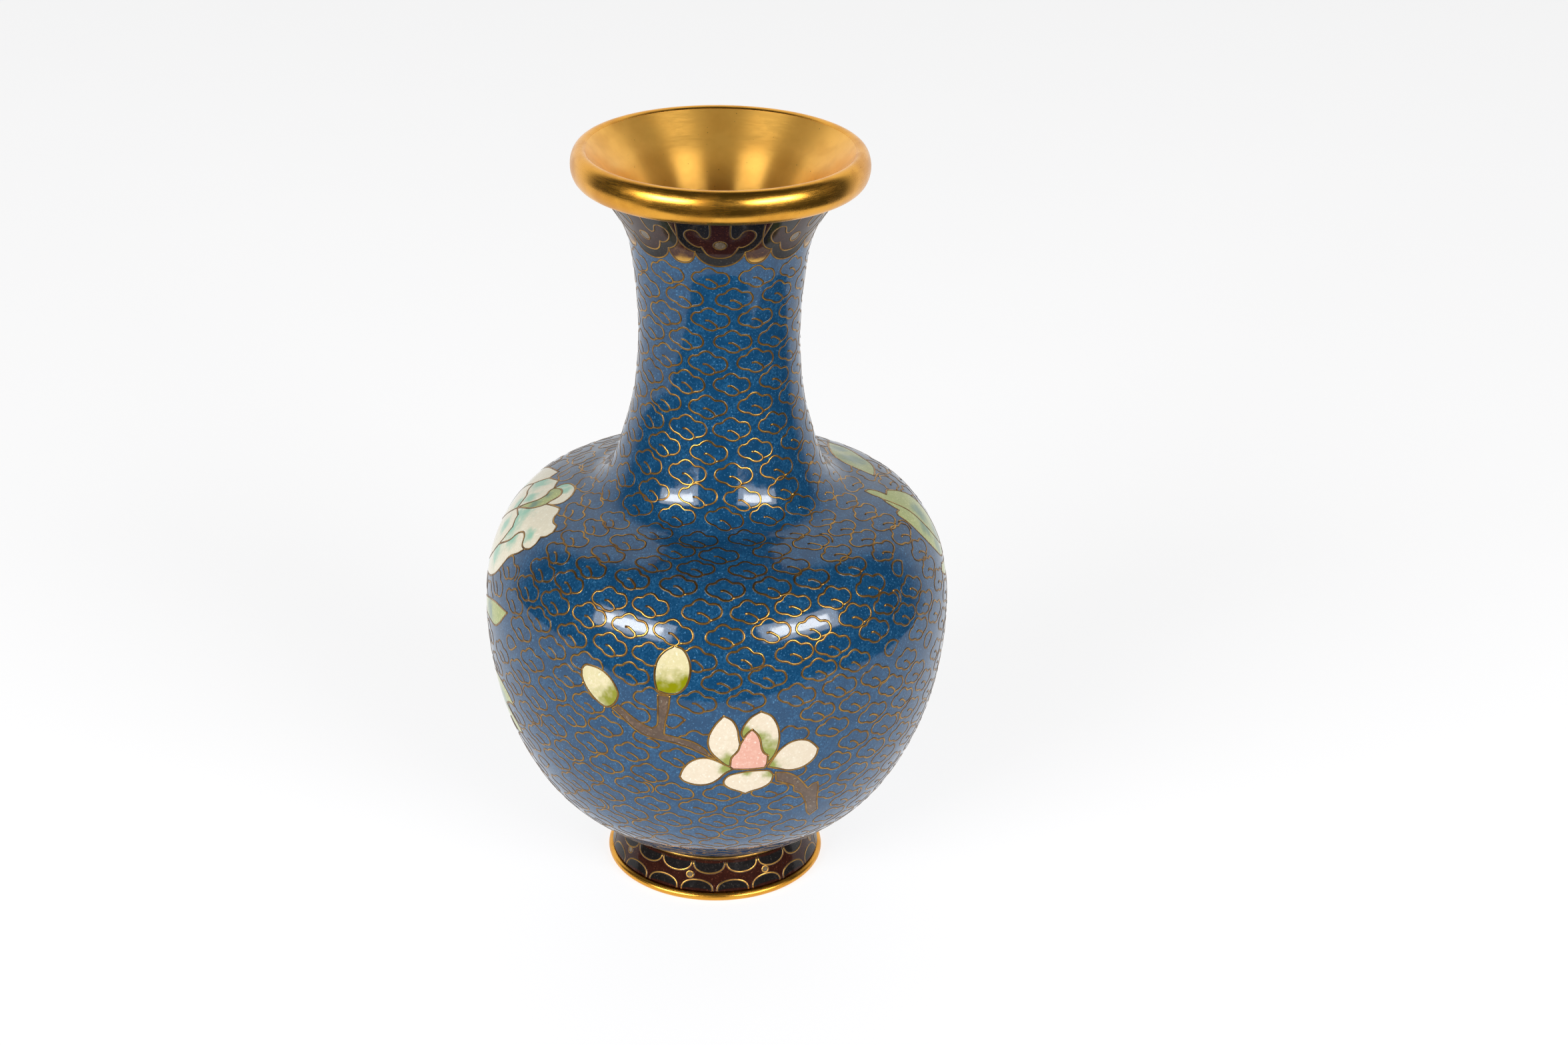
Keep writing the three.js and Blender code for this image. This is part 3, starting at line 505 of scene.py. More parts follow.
class Slabs:
    """Enamel slabs with one material: each is an area of a face, from one depth to another."""

    def __init__(self):
        self.verts, self.faces, self.normals, self.uv, self.tint = [], [], [], [], []
        self.count = 0

    def add(self, face, spots, tris, top=0.0, bottom=ENAMEL, weld=None, tint=None):
        """Adds a slab; spots that lie on the weld angle are joined to those a full turn away."""
        link = np.arange(len(spots))
        if weld is not None:
            left = np.nonzero(np.abs(spots[:, 0] - weld) < 1e-3)[0]
            right = np.nonzero(np.abs(spots[:, 0] - weld - 360) < 1e-3)[0]
            link[right[np.argsort(spots[right, 1])]] = left[np.argsort(spots[left, 1])]
        count = len(spots)
        joined = link[tris]
        seen = {}
        for i, tri in enumerate(joined):
            for k in range(3):
                seen[(tri[k], tri[(k + 1) % 3])] = (i, k)
        rim = [(edge, at) for edge, at in seen.items() if edge[::-1] not in seen]
        above = face.place(spots, top)
        below = face.place(spots, bottom)
        out = face.normals(spots)
        low, high = spots.min(axis=0), spots.max(axis=0)
        flat = (spots - low) / (high - low)
        main = UV_FACES[0] + flat * UV_FACES[1]
        spare = UV_BACKS[0] + flat * UV_BACKS[1]
        for tri, source in zip(joined, tris):
            self.faces.append([self.count + k for k in tri])
            self.normals += [out[k] for k in source]
            self.uv += [main[k] for k in source]
        for tri, source in zip(joined, tris):
            self.faces.append([self.count + count + k for k in tri[::-1]])
            self.normals += [-out[k] for k in source[::-1]]
            self.uv += [spare[k] for k in source[::-1]]
        for (a, b), _ in rim:
            self.faces.append([self.count + k for k in (a, a + count, b + count, b)])
            across = np.cross(below[a] - above[a], above[b] - above[a])
            self.normals += [across / np.linalg.norm(across)] * 4
            self.uv += [spare[a], spare[a], spare[b], spare[b]]
        self.verts += [*above, *below]
        shade = np.zeros(count) if tint is None else tint(spots)
        self.tint += [*shade, *shade]
        self.count += 2 * count

    def build(self, name, material, slot, stands_for=()):
        obj = make_object(name, self.verts, self.faces, [material], stands_for)
        mesh = obj.data
        mesh.polygons.foreach_set("use_smooth", [True] * len(mesh.polygons))
        set_uv(mesh, self.uv)
        tint = mesh.attributes.new("tint", "FLOAT", "POINT")
        tint.data.foreach_set("value", np.array(self.tint, float))
        mesh.normals_split_custom_set([tuple(normal) for normal in self.normals])
        drop_loose(mesh)
        return obj


def drop_loose(mesh):
    """Deletes vertices that no face uses."""
    work = bmesh.new()
    work.from_mesh(mesh)
    loose = [vert for vert in work.verts if not vert.link_faces]
    if loose:
        bmesh.ops.delete(work, geom=loose, context="VERTS")
        work.to_mesh(mesh)
    work.free()


def simple_slab(face, outline, spacing, top=0.0, bottom=ENAMEL, holes=()):
    """The arguments of Slabs.add for one small area."""
    scale = float(face.per_degree(outline[:, 1].mean())[0])
    spots, tris = fill(outline, list(holes), (spacing / scale, spacing), scale)
    return face, spots, tris, top, bottom


WIRE_SECTION = np.array([
    [-WIRE_WIDTH / 2 - WIRE_EDGE, -WIRE_SINK], [-WIRE_WIDTH / 2, WIRE_RISE * 0.8], [0, WIRE_RISE],
    [WIRE_WIDTH / 2, WIRE_RISE * 0.8], [WIRE_WIDTH / 2 + WIRE_EDGE, -WIRE_SINK],
])
WIRE_TOPS = (1, 2)  # sides of the section that are polished bright
WIRE_TOP_UV = 0.8  # share of the wires' texture that the bright sides have


def make_wires(name, face, wires, material, edge_material):
    """Low wires let into a face, one along each curve of spots."""
    verts, faces, sides, uv = [], [], [], []
    start = 0
    sections = len(WIRE_SECTION)
    for number, spots in enumerate(wires):
        centre = face.place(spots)
        out = face.normals(spots)
        along = np.gradient(centre, axis=0)
        along /= np.linalg.norm(along, axis=1)[:, None] + 1e-12
        centre[0] -= along[0] * WIRE_WIDTH / 2
        centre[-1] += along[-1] * WIRE_WIDTH / 2
        across = np.cross(along, out)
        ring = (
            centre[:, None, :]
            + across[:, None, :] * WIRE_SECTION[None, :, :1]
            + out[:, None, :] * WIRE_SECTION[None, :, 1:]
        )
        verts.append(ring.reshape(-1, 3))
        count = len(spots)
        cell = (number + 0.5) / len(wires)
        for i in range(count - 1):
            low, high = i / (count - 1), (i + 1) / (count - 1)
            for k in range(sections):
                n = (k + 1) % sections
                a, b = start + i * sections, start + (i + 1) * sections
                faces.append([a + k, b + k, b + n, a + n])
                bright = k in WIRE_TOPS
                sides.append(0 if bright else 1)
                v = cell * WIRE_TOP_UV if bright else WIRE_TOP_UV + cell * (1 - WIRE_TOP_UV)
                uv += [(low, v), (high, v), (high, v), (low, v)]
        for end, order in ((start, 1), (start + (count - 1) * sections, -1)):
            faces.append([end + k for k in range(sections)][::order])
            sides.append(1)
            uv += [(0.5, 0.99)] * sections
        start += count * sections
    obj = make_object(name, np.concatenate(verts), faces, [material, edge_material])
    mesh = obj.data
    mesh.polygons.foreach_set("material_index", sides)
    mesh.polygons.foreach_set("use_smooth", [side == 0 for side in sides])
    set_uv(mesh, uv)
    return obj


SHARP_EDGE = 35  # a turned piece stays smooth across edges that bend less than this


def turn(name, profile, material, stands_for=(), sides=TURN_SIDES):
    """A closed profile of [radius, height] turned round the axis, with the radius to the right."""
    profile = np.array(profile, float)
    count = len(profile)
    on_axis = profile[:, 0] < 1e-6
    turns = np.linspace(0, 2 * math.pi, sides, endpoint=False)
    verts, index = [], {}
    for k, (radius, height) in enumerate(profile):
        for i, angle in enumerate(turns):
            if on_axis[k] and i:
                index[k, i] = index[k, 0]
                continue
            index[k, i] = len(verts)
            verts.append([radius * math.sin(angle), -radius * math.cos(angle), height])
    faces = []
    for k in range(count):
        n = (k + 1) % count
        if on_axis[k] and on_axis[n]:
            continue
        for i in range(sides):
            j = (i + 1) % sides
            corners = [index[k, i], index[k, j], index[n, j], index[n, i]]
            faces.append(list(dict.fromkeys(corners)))
    obj = make_object(name, verts, faces, [material], stands_for)
    obj.data.polygons.foreach_set("use_smooth", [True] * len(faces))
    obj.data.set_sharp_from_angle(angle=math.radians(SHARP_EDGE))
    return obj


# ---------------------------------------------------------------- materials


class Nodes:
    """A material with one Principled shader, and short ways to add nodes to it."""

    def __init__(self, name, metallic=0.0, roughness=0.2):
        self.material = bpy.data.materials.new(name)
        self.material.use_nodes = True
        self.tree = self.material.node_tree
        self.shader = self.tree.nodes["Principled BSDF"]
        self.shader.inputs["Metallic"].default_value = metallic
        self.shader.inputs["Roughness"].default_value = roughness
        self.place = self.add("ShaderNodeTexCoord").outputs["Object"]

    def add(self, kind, **settings):
        node = self.tree.nodes.new(kind)
        for key, value in settings.items():
            setattr(node, key, value)
        return node

    def link(self, source, target):
        self.tree.links.new(source, target)

    def stretched(self, scale):
        node = self.add("ShaderNodeVectorMath", operation="MULTIPLY")
        self.link(self.place, node.inputs[0])
        node.inputs[1].default_value = scale
        return node.outputs[0]

    def noise(self, size, detail=2.0, rough=0.5, vector=None, distortion=0.0):
        """Noise whose features are about `size` millimetres across."""
        node = self.add("ShaderNodeTexNoise")
        node.inputs["Scale"].default_value = 1 / (size * MM)
        node.inputs["Detail"].default_value = detail
        node.inputs["Roughness"].default_value = rough
        node.inputs["Distortion"].default_value = distortion
        self.link(vector or self.place, node.inputs["Vector"])
        return node.outputs["Fac"]

    def cells(self, size):
        """Distance to the nearest of scattered points about `size` millimetres apart."""
        node = self.add("ShaderNodeTexVoronoi")
        node.inputs["Scale"].default_value = 1 / (size * MM)
        self.link(self.place, node.inputs["Vector"])
        return node.outputs["Distance"]

    def span(self, value, low, high, to_low=0.0, to_high=1.0):
        node = self.add("ShaderNodeMapRange", interpolation_type="SMOOTHSTEP")
        self.link(value, node.inputs["Value"])
        for key, number in (("From Min", low), ("From Max", high), ("To Min", to_low), ("To Max", to_high)):
            node.inputs[key].default_value = number
        return node.outputs["Result"]

    def mix(self, share, first, second):
        node = self.add("ShaderNodeMix", data_type="RGBA")
        self.link(share, node.inputs["Factor"])
        for socket, colour in ((node.inputs[6], first), (node.inputs[7], second)):
            if isinstance(colour, (tuple, list)):
                socket.default_value = (*colour, 1)
            else:
                self.link(colour, socket)
        return node.outputs[2]

    def sum(self, first, second, operation="ADD"):
        node = self.add("ShaderNodeMath", operation=operation, use_clamp=True)
        self.link(first, node.inputs[0])
        if isinstance(second, (int, float)):
            node.inputs[1].default_value = second
        else:
            self.link(second, node.inputs[1])
        return node.outputs[0]

    def tint(self):
        return self.add("ShaderNodeAttribute", attribute_name="tint").outputs["Fac"]

    def colour(self, socket):
        self.link(socket, self.shader.inputs["Base Color"])

    def roughness(self, socket):
        self.link(socket, self.shader.inputs["Roughness"])

    def bump(self, height, depth):
        """Raises the surface by up to `depth` millimetres where the height is 1."""
        node = self.add("ShaderNodeBump")
        node.inputs["Strength"].default_value = 1.0
        node.inputs["Distance"].default_value = depth * MM
        self.link(height, node.inputs["Height"])
        self.link(node.outputs["Normal"], self.shader.inputs["Normal"])


def enamel(name, colour, dark, light, shade=None, pits=0.5, grain=0.45, shine=0.5):
    """Fired glass: cloudy grains of a lighter and a darker tone, specks and small dark pits."""
    nodes = Nodes(name, roughness=0.1)
    nodes.shader.inputs["Specular IOR Level"].default_value = shine
    clouds = nodes.span(nodes.noise(2.6, 3.0, 0.6), 0.3, 0.7)
    grains = nodes.span(nodes.noise(grain, 2.0, 0.6), 0.35, 0.68)
    base = nodes.mix(nodes.sum(clouds, grains, "MULTIPLY"), dark, colour)
    specks = nodes.span(nodes.noise(grain * 0.8, 1.0, 0.5, distortion=0.4), 0.6, 0.78)
    base = nodes.mix(specks, base, light)
    if shade:
        wander = nodes.span(nodes.noise(1.6, 2.0, 0.5), 0.25, 0.75, -0.2, 0.2)
        share = nodes.span(nodes.sum(nodes.tint(), wander), 0.08, 0.92)
        base = nodes.mix(share, base, shade)
    holes = nodes.span(nodes.cells(2.4), 0.06, 0.02)
    patchy = nodes.span(nodes.noise(9.0, 1.0), 0.5 - 0.2 * pits, 0.75 - 0.2 * pits)
    holes = nodes.sum(holes, patchy, "MULTIPLY")
    nodes.colour(nodes.mix(holes, base, tuple(0.25 * part for part in dark)))
    nodes.roughness(nodes.span(nodes.noise(1.2, 3.0, 0.6), 0.3, 0.75, 0.05, 0.12))
    swell = nodes.noise(3.2, 2.0, 0.4)
    nodes.bump(nodes.sum(nodes.sum(swell, holes, "SUBTRACT"), 1.0, "MULTIPLY"), 0.018)
    return nodes.material


def gilding(name, bright, brown, rough=(0.2, 0.34), brush=0.006, spread=0.0, metallic=1.0):
    """Brushed gilt metal: fine scratches round the axis, browner patches and small dark specks.

    The spread is how far the scratches draw highlights out, up and down the metal.
    """
    nodes = Nodes(name, metallic=metallic)
    if spread:
        tangent = nodes.add("ShaderNodeTangent", direction_type="RADIAL", axis="Z")
        nodes.link(tangent.outputs["Tangent"], nodes.shader.inputs["Tangent"])
        nodes.shader.inputs["Anisotropic"].default_value = spread
        nodes.shader.inputs["Anisotropic Rotation"].default_value = 0.25
    fine = nodes.noise(3.0, 3.0, 0.7, nodes.stretched((1, 1, 22)))
    broad = nodes.span(nodes.noise(7.0, 3.0, 0.6), 0.35, 0.7)
    sparse = nodes.span(nodes.noise(5.0, 1.0), 0.45, 0.6)
    specks = nodes.sum(nodes.span(nodes.cells(1.3), 0.11, 0.04), sparse, "MULTIPLY")
    base = nodes.mix(nodes.sum(broad, 0.45, "MULTIPLY"), bright, brown)
    base = nodes.mix(nodes.sum(specks, 0.75, "MULTIPLY"), base, tuple(0.3 * part for part in brown))
    nodes.colour(base)
    nodes.roughness(nodes.span(nodes.sum(fine, nodes.sum(broad, 0.3, "MULTIPLY")), 0.35, 0.95, *rough))
    nodes.bump(fine, brush)
    return nodes.material


def wire_metal(name, bright, brown, low_rough, high_rough):
    """Polished edge of a thin brass wire, duller where it has worn less."""
    nodes = Nodes(name, metallic=1.0)
    worn = nodes.span(nodes.noise(2.2, 3.0, 0.6), 0.3, 0.7)
    nodes.colour(nodes.mix(worn, brown, bright))
    nodes.roughness(nodes.span(worn, 0, 1, high_rough, low_rough))
    return nodes.material


def oxide(name, dark, brown):
    """Dark fired edge between a wire and the glass."""
    nodes = Nodes(name, roughness=0.35)
    nodes.colour(nodes.mix(nodes.span(nodes.noise(0.9, 2.0), 0.35, 0.7), dark, brown))
    return nodes.material


def plain_copper(name):
    """Copper darkened by firing."""
    nodes = Nodes(name, metallic=1.0)
    patches = nodes.span(nodes.noise(6.0, 4.0, 0.65), 0.35, 0.7)
    nodes.colour(nodes.mix(patches, (0.16, 0.06, 0.035), (0.42, 0.19, 0.10)))
    nodes.roughness(nodes.span(nodes.noise(0.8, 3.0), 0.3, 0.7, 0.35, 0.6))
    nodes.bump(nodes.noise(0.7, 3.0), 0.02)
    return nodes.material


blue = enamel("blue_enamel", (0.015, 0.090, 0.200), (0.004, 0.044, 0.112), (0.055, 0.18, 0.34), pits=0.5)
black = enamel(
    "black_enamel", (0.016, 0.013, 0.012), (0.008, 0.007, 0.007), (0.04, 0.035, 0.03),
    pits=0.7, shine=0.22,
)
maroon = enamel(
    "maroon_enamel", (0.036, 0.010, 0.006), (0.022, 0.006, 0.004), (0.085, 0.028, 0.014),
    pits=0.7, shine=0.22,
)
amber = enamel(
    "amber_enamel", (0.075, 0.026, 0.010), (0.04, 0.012, 0.006), (0.16, 0.07, 0.02),
    shade=(0.50, 0.27, 0.04), pits=0.6, shine=0.3,
)
grey_dot = enamel("dot_enamel", (0.17, 0.13, 0.08), (0.10, 0.075, 0.05), (0.28, 0.22, 0.14), pits=0.6)
cream = enamel(
    "cream_enamel", (0.72, 0.645, 0.51), (0.67, 0.57, 0.43), (0.80, 0.74, 0.64),
    shade=(0.24, 0.27, 0.05), pits=0.2, grain=0.6,
)
bud = enamel(
    "bud_enamel", (0.75, 0.66, 0.44), (0.66, 0.59, 0.33), (0.81, 0.76, 0.57),
    shade=(0.23, 0.235, 0.003), pits=0.25, grain=0.6,
)
pink = enamel("pink_enamel", (0.70, 0.42, 0.33), (0.65, 0.33, 0.25), (0.76, 0.55, 0.46), pits=0.4, grain=0.6)
peony = enamel(
    "peony_enamel", (0.79, 0.74, 0.58), (0.71, 0.65, 0.49), (0.85, 0.82, 0.69),
    shade=(0.26, 0.50, 0.36), pits=0.2, grain=0.6,
)
leaf = enamel(
    "leaf_enamel", (0.43, 0.47, 0.15), (0.31, 0.36, 0.10), (0.60, 0.62, 0.28),
    shade=(0.10, 0.20, 0.11), pits=0.4, grain=0.5,
)
bark = enamel(
    "bark_enamel", (0.15, 0.092, 0.056), (0.08, 0.048, 0.030), (0.24, 0.20, 0.15), pits=0.5, grain=0.7,
)
turquoise = enamel("base_enamel", (0.06, 0.32, 0.36), (0.03, 0.22, 0.26), (0.15, 0.45, 0.48), pits=0.6)
gilt = gilding("gilt", (0.82, 0.40, 0.055), (0.52, 0.20, 0.018))
gilt_inside = gilding(
    "gilt_inside", (0.92, 0.50, 0.09), (0.64, 0.30, 0.04), (0.30, 0.41), 0.008, spread=0.90, metallic=0.72,
)
wire = wire_metal("wire", (0.42, 0.23, 0.05), (0.20, 0.10, 0.028), 0.27, 0.44)
wire_edge = oxide("wire_edge", (0.020, 0.014, 0.010), (0.055, 0.032, 0.016))
copper = plain_copper("copper")

# ---------------------------------------------------------------- inlays of the flowers


def shade_from(centres):
    """A tint that is strongest at each centre [angle, distance, reach] and fades over its reach."""
    def tint(spots):
        share = np.zeros(len(spots))
        for angle, distance, reach in centres:
            across = (spots[:, 0] - angle) * wall.per_degree(np.full(len(spots), distance))
            away = np.hypot(across, spots[:, 1] - distance)
            share = np.maximum(share, np.exp(-((away / reach) ** 2)))
        return share
    return tint


SHADES = {
    "magnolia_petal_1": [[3.2, 46.8, 2.4]],
    "magnolia_petal_2": [[6.6, 53.6, 1.9], [12.6, 48.4, 3.4], [10.6, 52.6, 1.6]],
    "magnolia_petal_3": [[13.2, 45.2, 2.0]],
    "magnolia_petal_4": [[3.0, 45.6, 1.8]],
    "magnolia_petal_5": [[13.6, 43.6, 1.6], [7.6, 44.4, 1.0]],
    "magnolia_bud_1": [[-13.0, 62.2, 3.3], [-10.3, 62.0, 3.4], [-7.6, 63.2, 3.0]],
    "magnolia_bud_2": [[-25.6, 58.0, 2.8], [-24.0, 60.0, 2.2]],
    "bud_back": [[-184.0, 63.0, 3.4]],
    "peony_petal_1": [[-86.0, 91.1, 1.6], [-90.6, 90.7, 1.8]],
    "peony_petal_2": [[-86.4, 87.5, 1.4], [-82.0, 84.5, 1.6]],
    "peony_petal_3": [[-79.0, 78.7, 2.6], [-80.0, 82.4, 2.2], [-68.0, 81.1, 1.6], [-82.0, 80.8, 2.0]],
    "peony_petal_4": [[-80.0, 72.7, 2.6], [-74.6, 77.8, 2.2], [-88.0, 67.6, 1.6]],
    "peony_petal_5": [[-86.0, 76.8, 2.0], [-97.0, 70.5, 2.4]],
    "peony_petal_6": [[-90.0, 80.9, 1.8], [-100.6, 75.6, 2.4]],
    "peony_petal_7": [[-88.6, 83.8, 1.8], [-97.4, 85.5, 2.4]],
    "peony_petal_8": [[-103.0, 78.2, 3.2], [-102.0, 70.1, 2.8]],
    "leaf_left_upper": [[-76.0, 62.0, 2.6], [-86.0, 59.4, 2.2]],
    "leaf_left_lower": [[-72.0, 43.5, 3.0], [-84.0, 38.5, 3.4]],
    "leaf_right_near": [[82.6, 78.2, 2.2], [85.0, 73.1, 2.2]],
    "leaf_right_far": [[88.0, 80.3, 2.6], [90.0, 74.1, 2.4]],
    "leaf_right_narrow": [[88.0, 67.6, 2.0]],
    "leaf_back_shoulder": [[118.0, 89.9, 3.0], [130.0, 88.9, 2.4]],
    "leaf_back_hanging": [[-148.0, 46.0, 3.2], [-148.0, 54.0, 2.4]],
}
FAMILIES = [
    ("magnolia_pistil", pink, "pink_enamel"),
    ("magnolia_petal", cream, "cream_enamel"),
    ("magnolia_bud", bud, "bud_enamel"),
    ("bud_back", bud, "bud_enamel"),
    ("branch", bark, "bark_enamel"),
    ("peony_petal_2", leaf, "leaf_enamel"),
    ("peony_petal", peony, "peony_enamel"),
    ("leaf", leaf, "leaf_enamel"),
]

corners = find_corners(wall, OUTLINES.values())
smooth = {name: smooth_outline(wall, outline, corners) for name, outline in OUTLINES.items()}


def make_inlays():
    for name, outline in smooth.items():
        material, slot = next((look, slot) for start, look, slot in FAMILIES if name.startswith(start))
        slabs = Slabs()
        slabs.add(*simple_slab(wall, outline, 0.8), tint=shade_from(SHADES.get(name, [])))
        slabs.build(f"{name}_enamel", material, slot, [name])


# ---------------------------------------------------------------- blue ground

SEAM_ANGLE = HALF_PITCH - 5 * RUYI_PITCH  # the ground closes on itself in the middle of a pendant
GROUND_COLUMN = 3.0
GROUND_ROW = 1.5


def collar_edge():
    """The lower edge of the collar right round, from the seam angle to a full turn later."""
    spots = []
    for i in range(RUYI_HEADS):
        middle = SEAM_ANGLE + HALF_PITCH + i * RUYI_PITCH
        half = [*HEAD_LOWER[1:-1], *PENDANT_EDGE]
        left = [[middle - angle, distance] for angle, distance in half][::-1]
        right = [[middle + angle, distance] for angle, distance in half]
        spots += [*left, [middle, HEAD_LOWER[0][1]], *right[:-1]]
    return np.array([*spots, [SEAM_ANGLE + 360, PENDANT_EDGE[-1][1]]])


def make_ground():
    top = collar_edge()
    bottom_angles = np.arange(SEAM_ANGLE, SEAM_ANGLE + 360 + 0.1, GROUND_COLUMN)
    bottom = np.stack([bottom_angles, np.full(len(bottom_angles), GROUND_START)], axis=1)
    rise = np.linspace(GROUND_START, PENDANT_EDGE[-1][1], 100)[1:-1]
    right = np.stack([np.full(len(rise), SEAM_ANGLE + 360), rise], axis=1)
    left = np.stack([np.full(len(rise), SEAM_ANGLE), rise[::-1]], axis=1)
    outer = np.concatenate([bottom, right, top[::-1], left])
    scale = float(wall.per_degree(GROUND_START + 60)[0])
    spots, tris = fill(outer, list(smooth.values()), (GROUND_COLUMN, GROUND_ROW), scale)
    slabs = Slabs()
    slabs.add(wall, spots, tris, weld=SEAM_ANGLE)
    nodes = ["belly_ground", "shoulder_ground", "neck_ground"]
    slabs.build("blue_ground", blue, "blue_enamel", nodes)


# ---------------------------------------------------------------- clouds


def on_motif(spots):
    """Which of the spots lie on an inlay."""
    hit = np.zeros(len(spots), bool)
    for outline in smooth.values():
        low, high = outline.min(axis=0), outline.max(axis=0)
        near = ((spots > low) & (spots < high)).all(axis=1)
        if near.any():
            hit[near] |= inside(outline, spots[near])
    return hit


def wrapped(angle):
    return (angle - SEAM_ANGLE) % 360 + SEAM_ANGLE


def stamp(shape, angle, distance, lean=0.0, size=1.0):
    """A flat shape in millimetres laid on the wall at a spot."""
    cosine, sine = math.cos(math.radians(lean)), math.sin(math.radians(lean))
    turned = np.array(shape) @ np.array([[cosine, sine], [-sine, cosine]])
    turned = turned * size
    rise = distance + turned[:, 1]
    return np.stack([wrapped(angle) + turned[:, 0] / wall.per_degree(rise), rise], axis=1)


FOOT_CLEARANCE = 0.3  # wires stop this far above the ground's lower edge
FEWEST_SPOTS = 5


def visible_parts(spots):
    """The stretches of a wire that no inlay covers, without very short ones."""
    shifted = spots.copy()
    shifted[:, 0] = wrapped(shifted[:, 0])
    free = ~on_motif(shifted) & (spots[:, 1] > GROUND_START + FOOT_CLEARANCE)
    parts, start = [], None
    for i, shown in enumerate([*free, False]):
        if shown and start is None:
            start = i
        if not shown and start is not None:
            if i - start > FEWEST_SPOTS:
                parts.append(spots[start:i])
            start = None
    return parts


def cloud_rows():
    """[angle, distance, lean, size] of every cloud, from the collar down to the foot."""
    places = []
    distance = COLLAR_BOTTOM - CLOUD_TOP
    number = 0
    while distance > CLOUD_END:
        radius = float(wall.section(distance)[0, 0])
        count = max(6, round(2 * math.pi * radius / CLOUD_PITCH))
        pitch = 360 / count
        loose = 1.0 if distance < STEADY_FROM else 0.4
        front = BODY_ANGLE if radius > NECK_BELOW else NECK_ANGLE
        if number % 2 == 0:
            front -= pitch / 2
        for i in range(count):
            places.append([
                front + i * pitch + loose * rng.uniform(-0.7, 0.7) / float(wall.per_degree(distance)[0]),
                distance + loose * rng.uniform(-0.35, 0.35),
                loose * rng.uniform(-7, 7),
                rng.uniform(0.93, 1.02),
            ])
        distance -= CLOUD_ROW
        number += 1
    return places


def make_clouds():
    cloud = smooth_flat(CLOUD)
    drop = smooth_flat(TEARDROP)
    arc = smooth_flat(SIDE_ARC)
    bands = {name: [] for name, _ in CLOUD_BANDS}
    for angle, distance, lean, size in cloud_rows():
        band = next(name for name, lowest in CLOUD_BANDS if distance > lowest)
        spots = stamp(cloud, angle, distance, lean, size)
        middle = np.array([[wrapped(angle), distance]])
        chance = rng.random()
        if on_motif(middle)[0]:
            continue
        if chance < 0.035 and distance < MOTIF_BELOW:
            spots = stamp(drop, angle, distance, lean, 1.15)
        elif chance < 0.12 and distance < MOTIF_BELOW:
            bands[band] += visible_parts(stamp(arc, angle, distance, lean, size))
        bands[band] += visible_parts(spots)
    for name, wires in bands.items():
        make_wires(name, wall, wires, wire, wire_edge)


def smooth_flat(shape):
    """A smooth curve through a flat shape, in even steps of about half a millimetre."""
    dense = spline(shape, 12)
    lengths = np.concatenate([[0], np.cumsum(np.hypot(*np.diff(dense, axis=0).T))])
    steps = max(6, round(lengths[-1] / 0.55))
    at = np.linspace(0, lengths[-1], steps)
    return np.stack([np.interp(at, lengths, column) for column in dense.T], axis=1)


# ---------------------------------------------------------------- collar


def shifted(spots, angle):
    return [[angle + across, distance] for across, distance in spots]


def mirrored(spots, angle):
    """The spots swapped left to right, then moved round by the angle."""
    return [[angle - across, distance] for across, distance in spots]


def flipped(spots):
    return mirrored(spots, 0)[::-1]


def make_collar():
    """The ruyi collar: eight black heads with maroon fields, pendants between, and their wires."""
    head = [*flipped(HEAD_SIDE), *flipped(HEAD_UPPER)[1:], *flipped(HEAD_LOWER)[1:]]
    head += [*HEAD_LOWER[1:], *HEAD_UPPER[1:], *HEAD_SIDE[1:]]
    field = [*flipped(FIELD_HALF), *FIELD_HALF[1:]]
    grounds, fields, dots, spandrels = Slabs(), Slabs(), Slabs(), Slabs()
    wires = []
    for i in range(RUYI_HEADS):
        middle = i * RUYI_PITCH
        dot = circle(wall, middle + FIELD_DOT[0], FIELD_DOT[1], FIELD_DOT[2])
        head_edge = smooth_run(wall, shifted(head, middle))
        field_edge = smooth_run(wall, shifted(field, middle))
        grounds.add(*simple_slab(wall, head_edge, 1.0, holes=[field_edge]))
        fields.add(*simple_slab(wall, field_edge, 1.0, holes=[dot]))
        dots.add(*simple_slab(wall, dot, 0.6))
        after = middle + RUYI_PITCH
        lower = shifted(PENDANT_EDGE, middle) + mirrored(PENDANT_EDGE[-2::-1], after)
        upper = mirrored(HEAD_UPPER[1:], after) + shifted(HEAD_UPPER[-2:0:-1], middle)
        hanging = Slabs()
        shape = np.array(lower + upper)
        hanging.add(*simple_slab(wall, shape, 0.9), tint=low_edge_tint)
        hanging.build(f"collar_pendant_enamel_{i + 1}", amber, "amber_enamel", [f"collar_pendant_{i + 1}"])
        gap = shifted(HEAD_SIDE, middle) + mirrored(HEAD_SIDE[:0:-1], after)
        spandrels.add(*simple_slab(wall, np.array(gap), 1.0))
        wires += [smooth_run(wall, shifted([*flipped(HEAD_LOWER), *HEAD_LOWER[1:]], middle))]
        wires += [smooth_run(wall, shifted(HEAD_UPPER + HEAD_SIDE[1:], middle))]
        wires += [smooth_run(wall, shifted(flipped(HEAD_UPPER + HEAD_SIDE[1:]), middle))]
        wires += [smooth_run(wall, lower), smooth_run(wall, shifted(field, middle))]
        wires += [np.concatenate([dot, dot[:2]])]
    grounds.build("collar_ground_enamel", black, "black_enamel", ["collar_ground"])
    fields.build(
        "ruyi_field_enamel", maroon, "maroon_enamel", [f"ruyi_field_{i + 1}" for i in range(RUYI_HEADS)]
    )
    dots.build("ruyi_dots", grey_dot, "amber_enamel")
    spandrels.build("collar_spandrels", maroon, "maroon_enamel")
    make_wires("collar_wires", wall, wires, wire, wire_edge)


PENDANT_GLOW = 151.6  # below this the pendants turn golden
PENDANT_FADE = 1.6


def low_edge_tint(spots):
    return np.clip((PENDANT_GLOW - spots[:, 1]) / PENDANT_FADE, 0, 1)


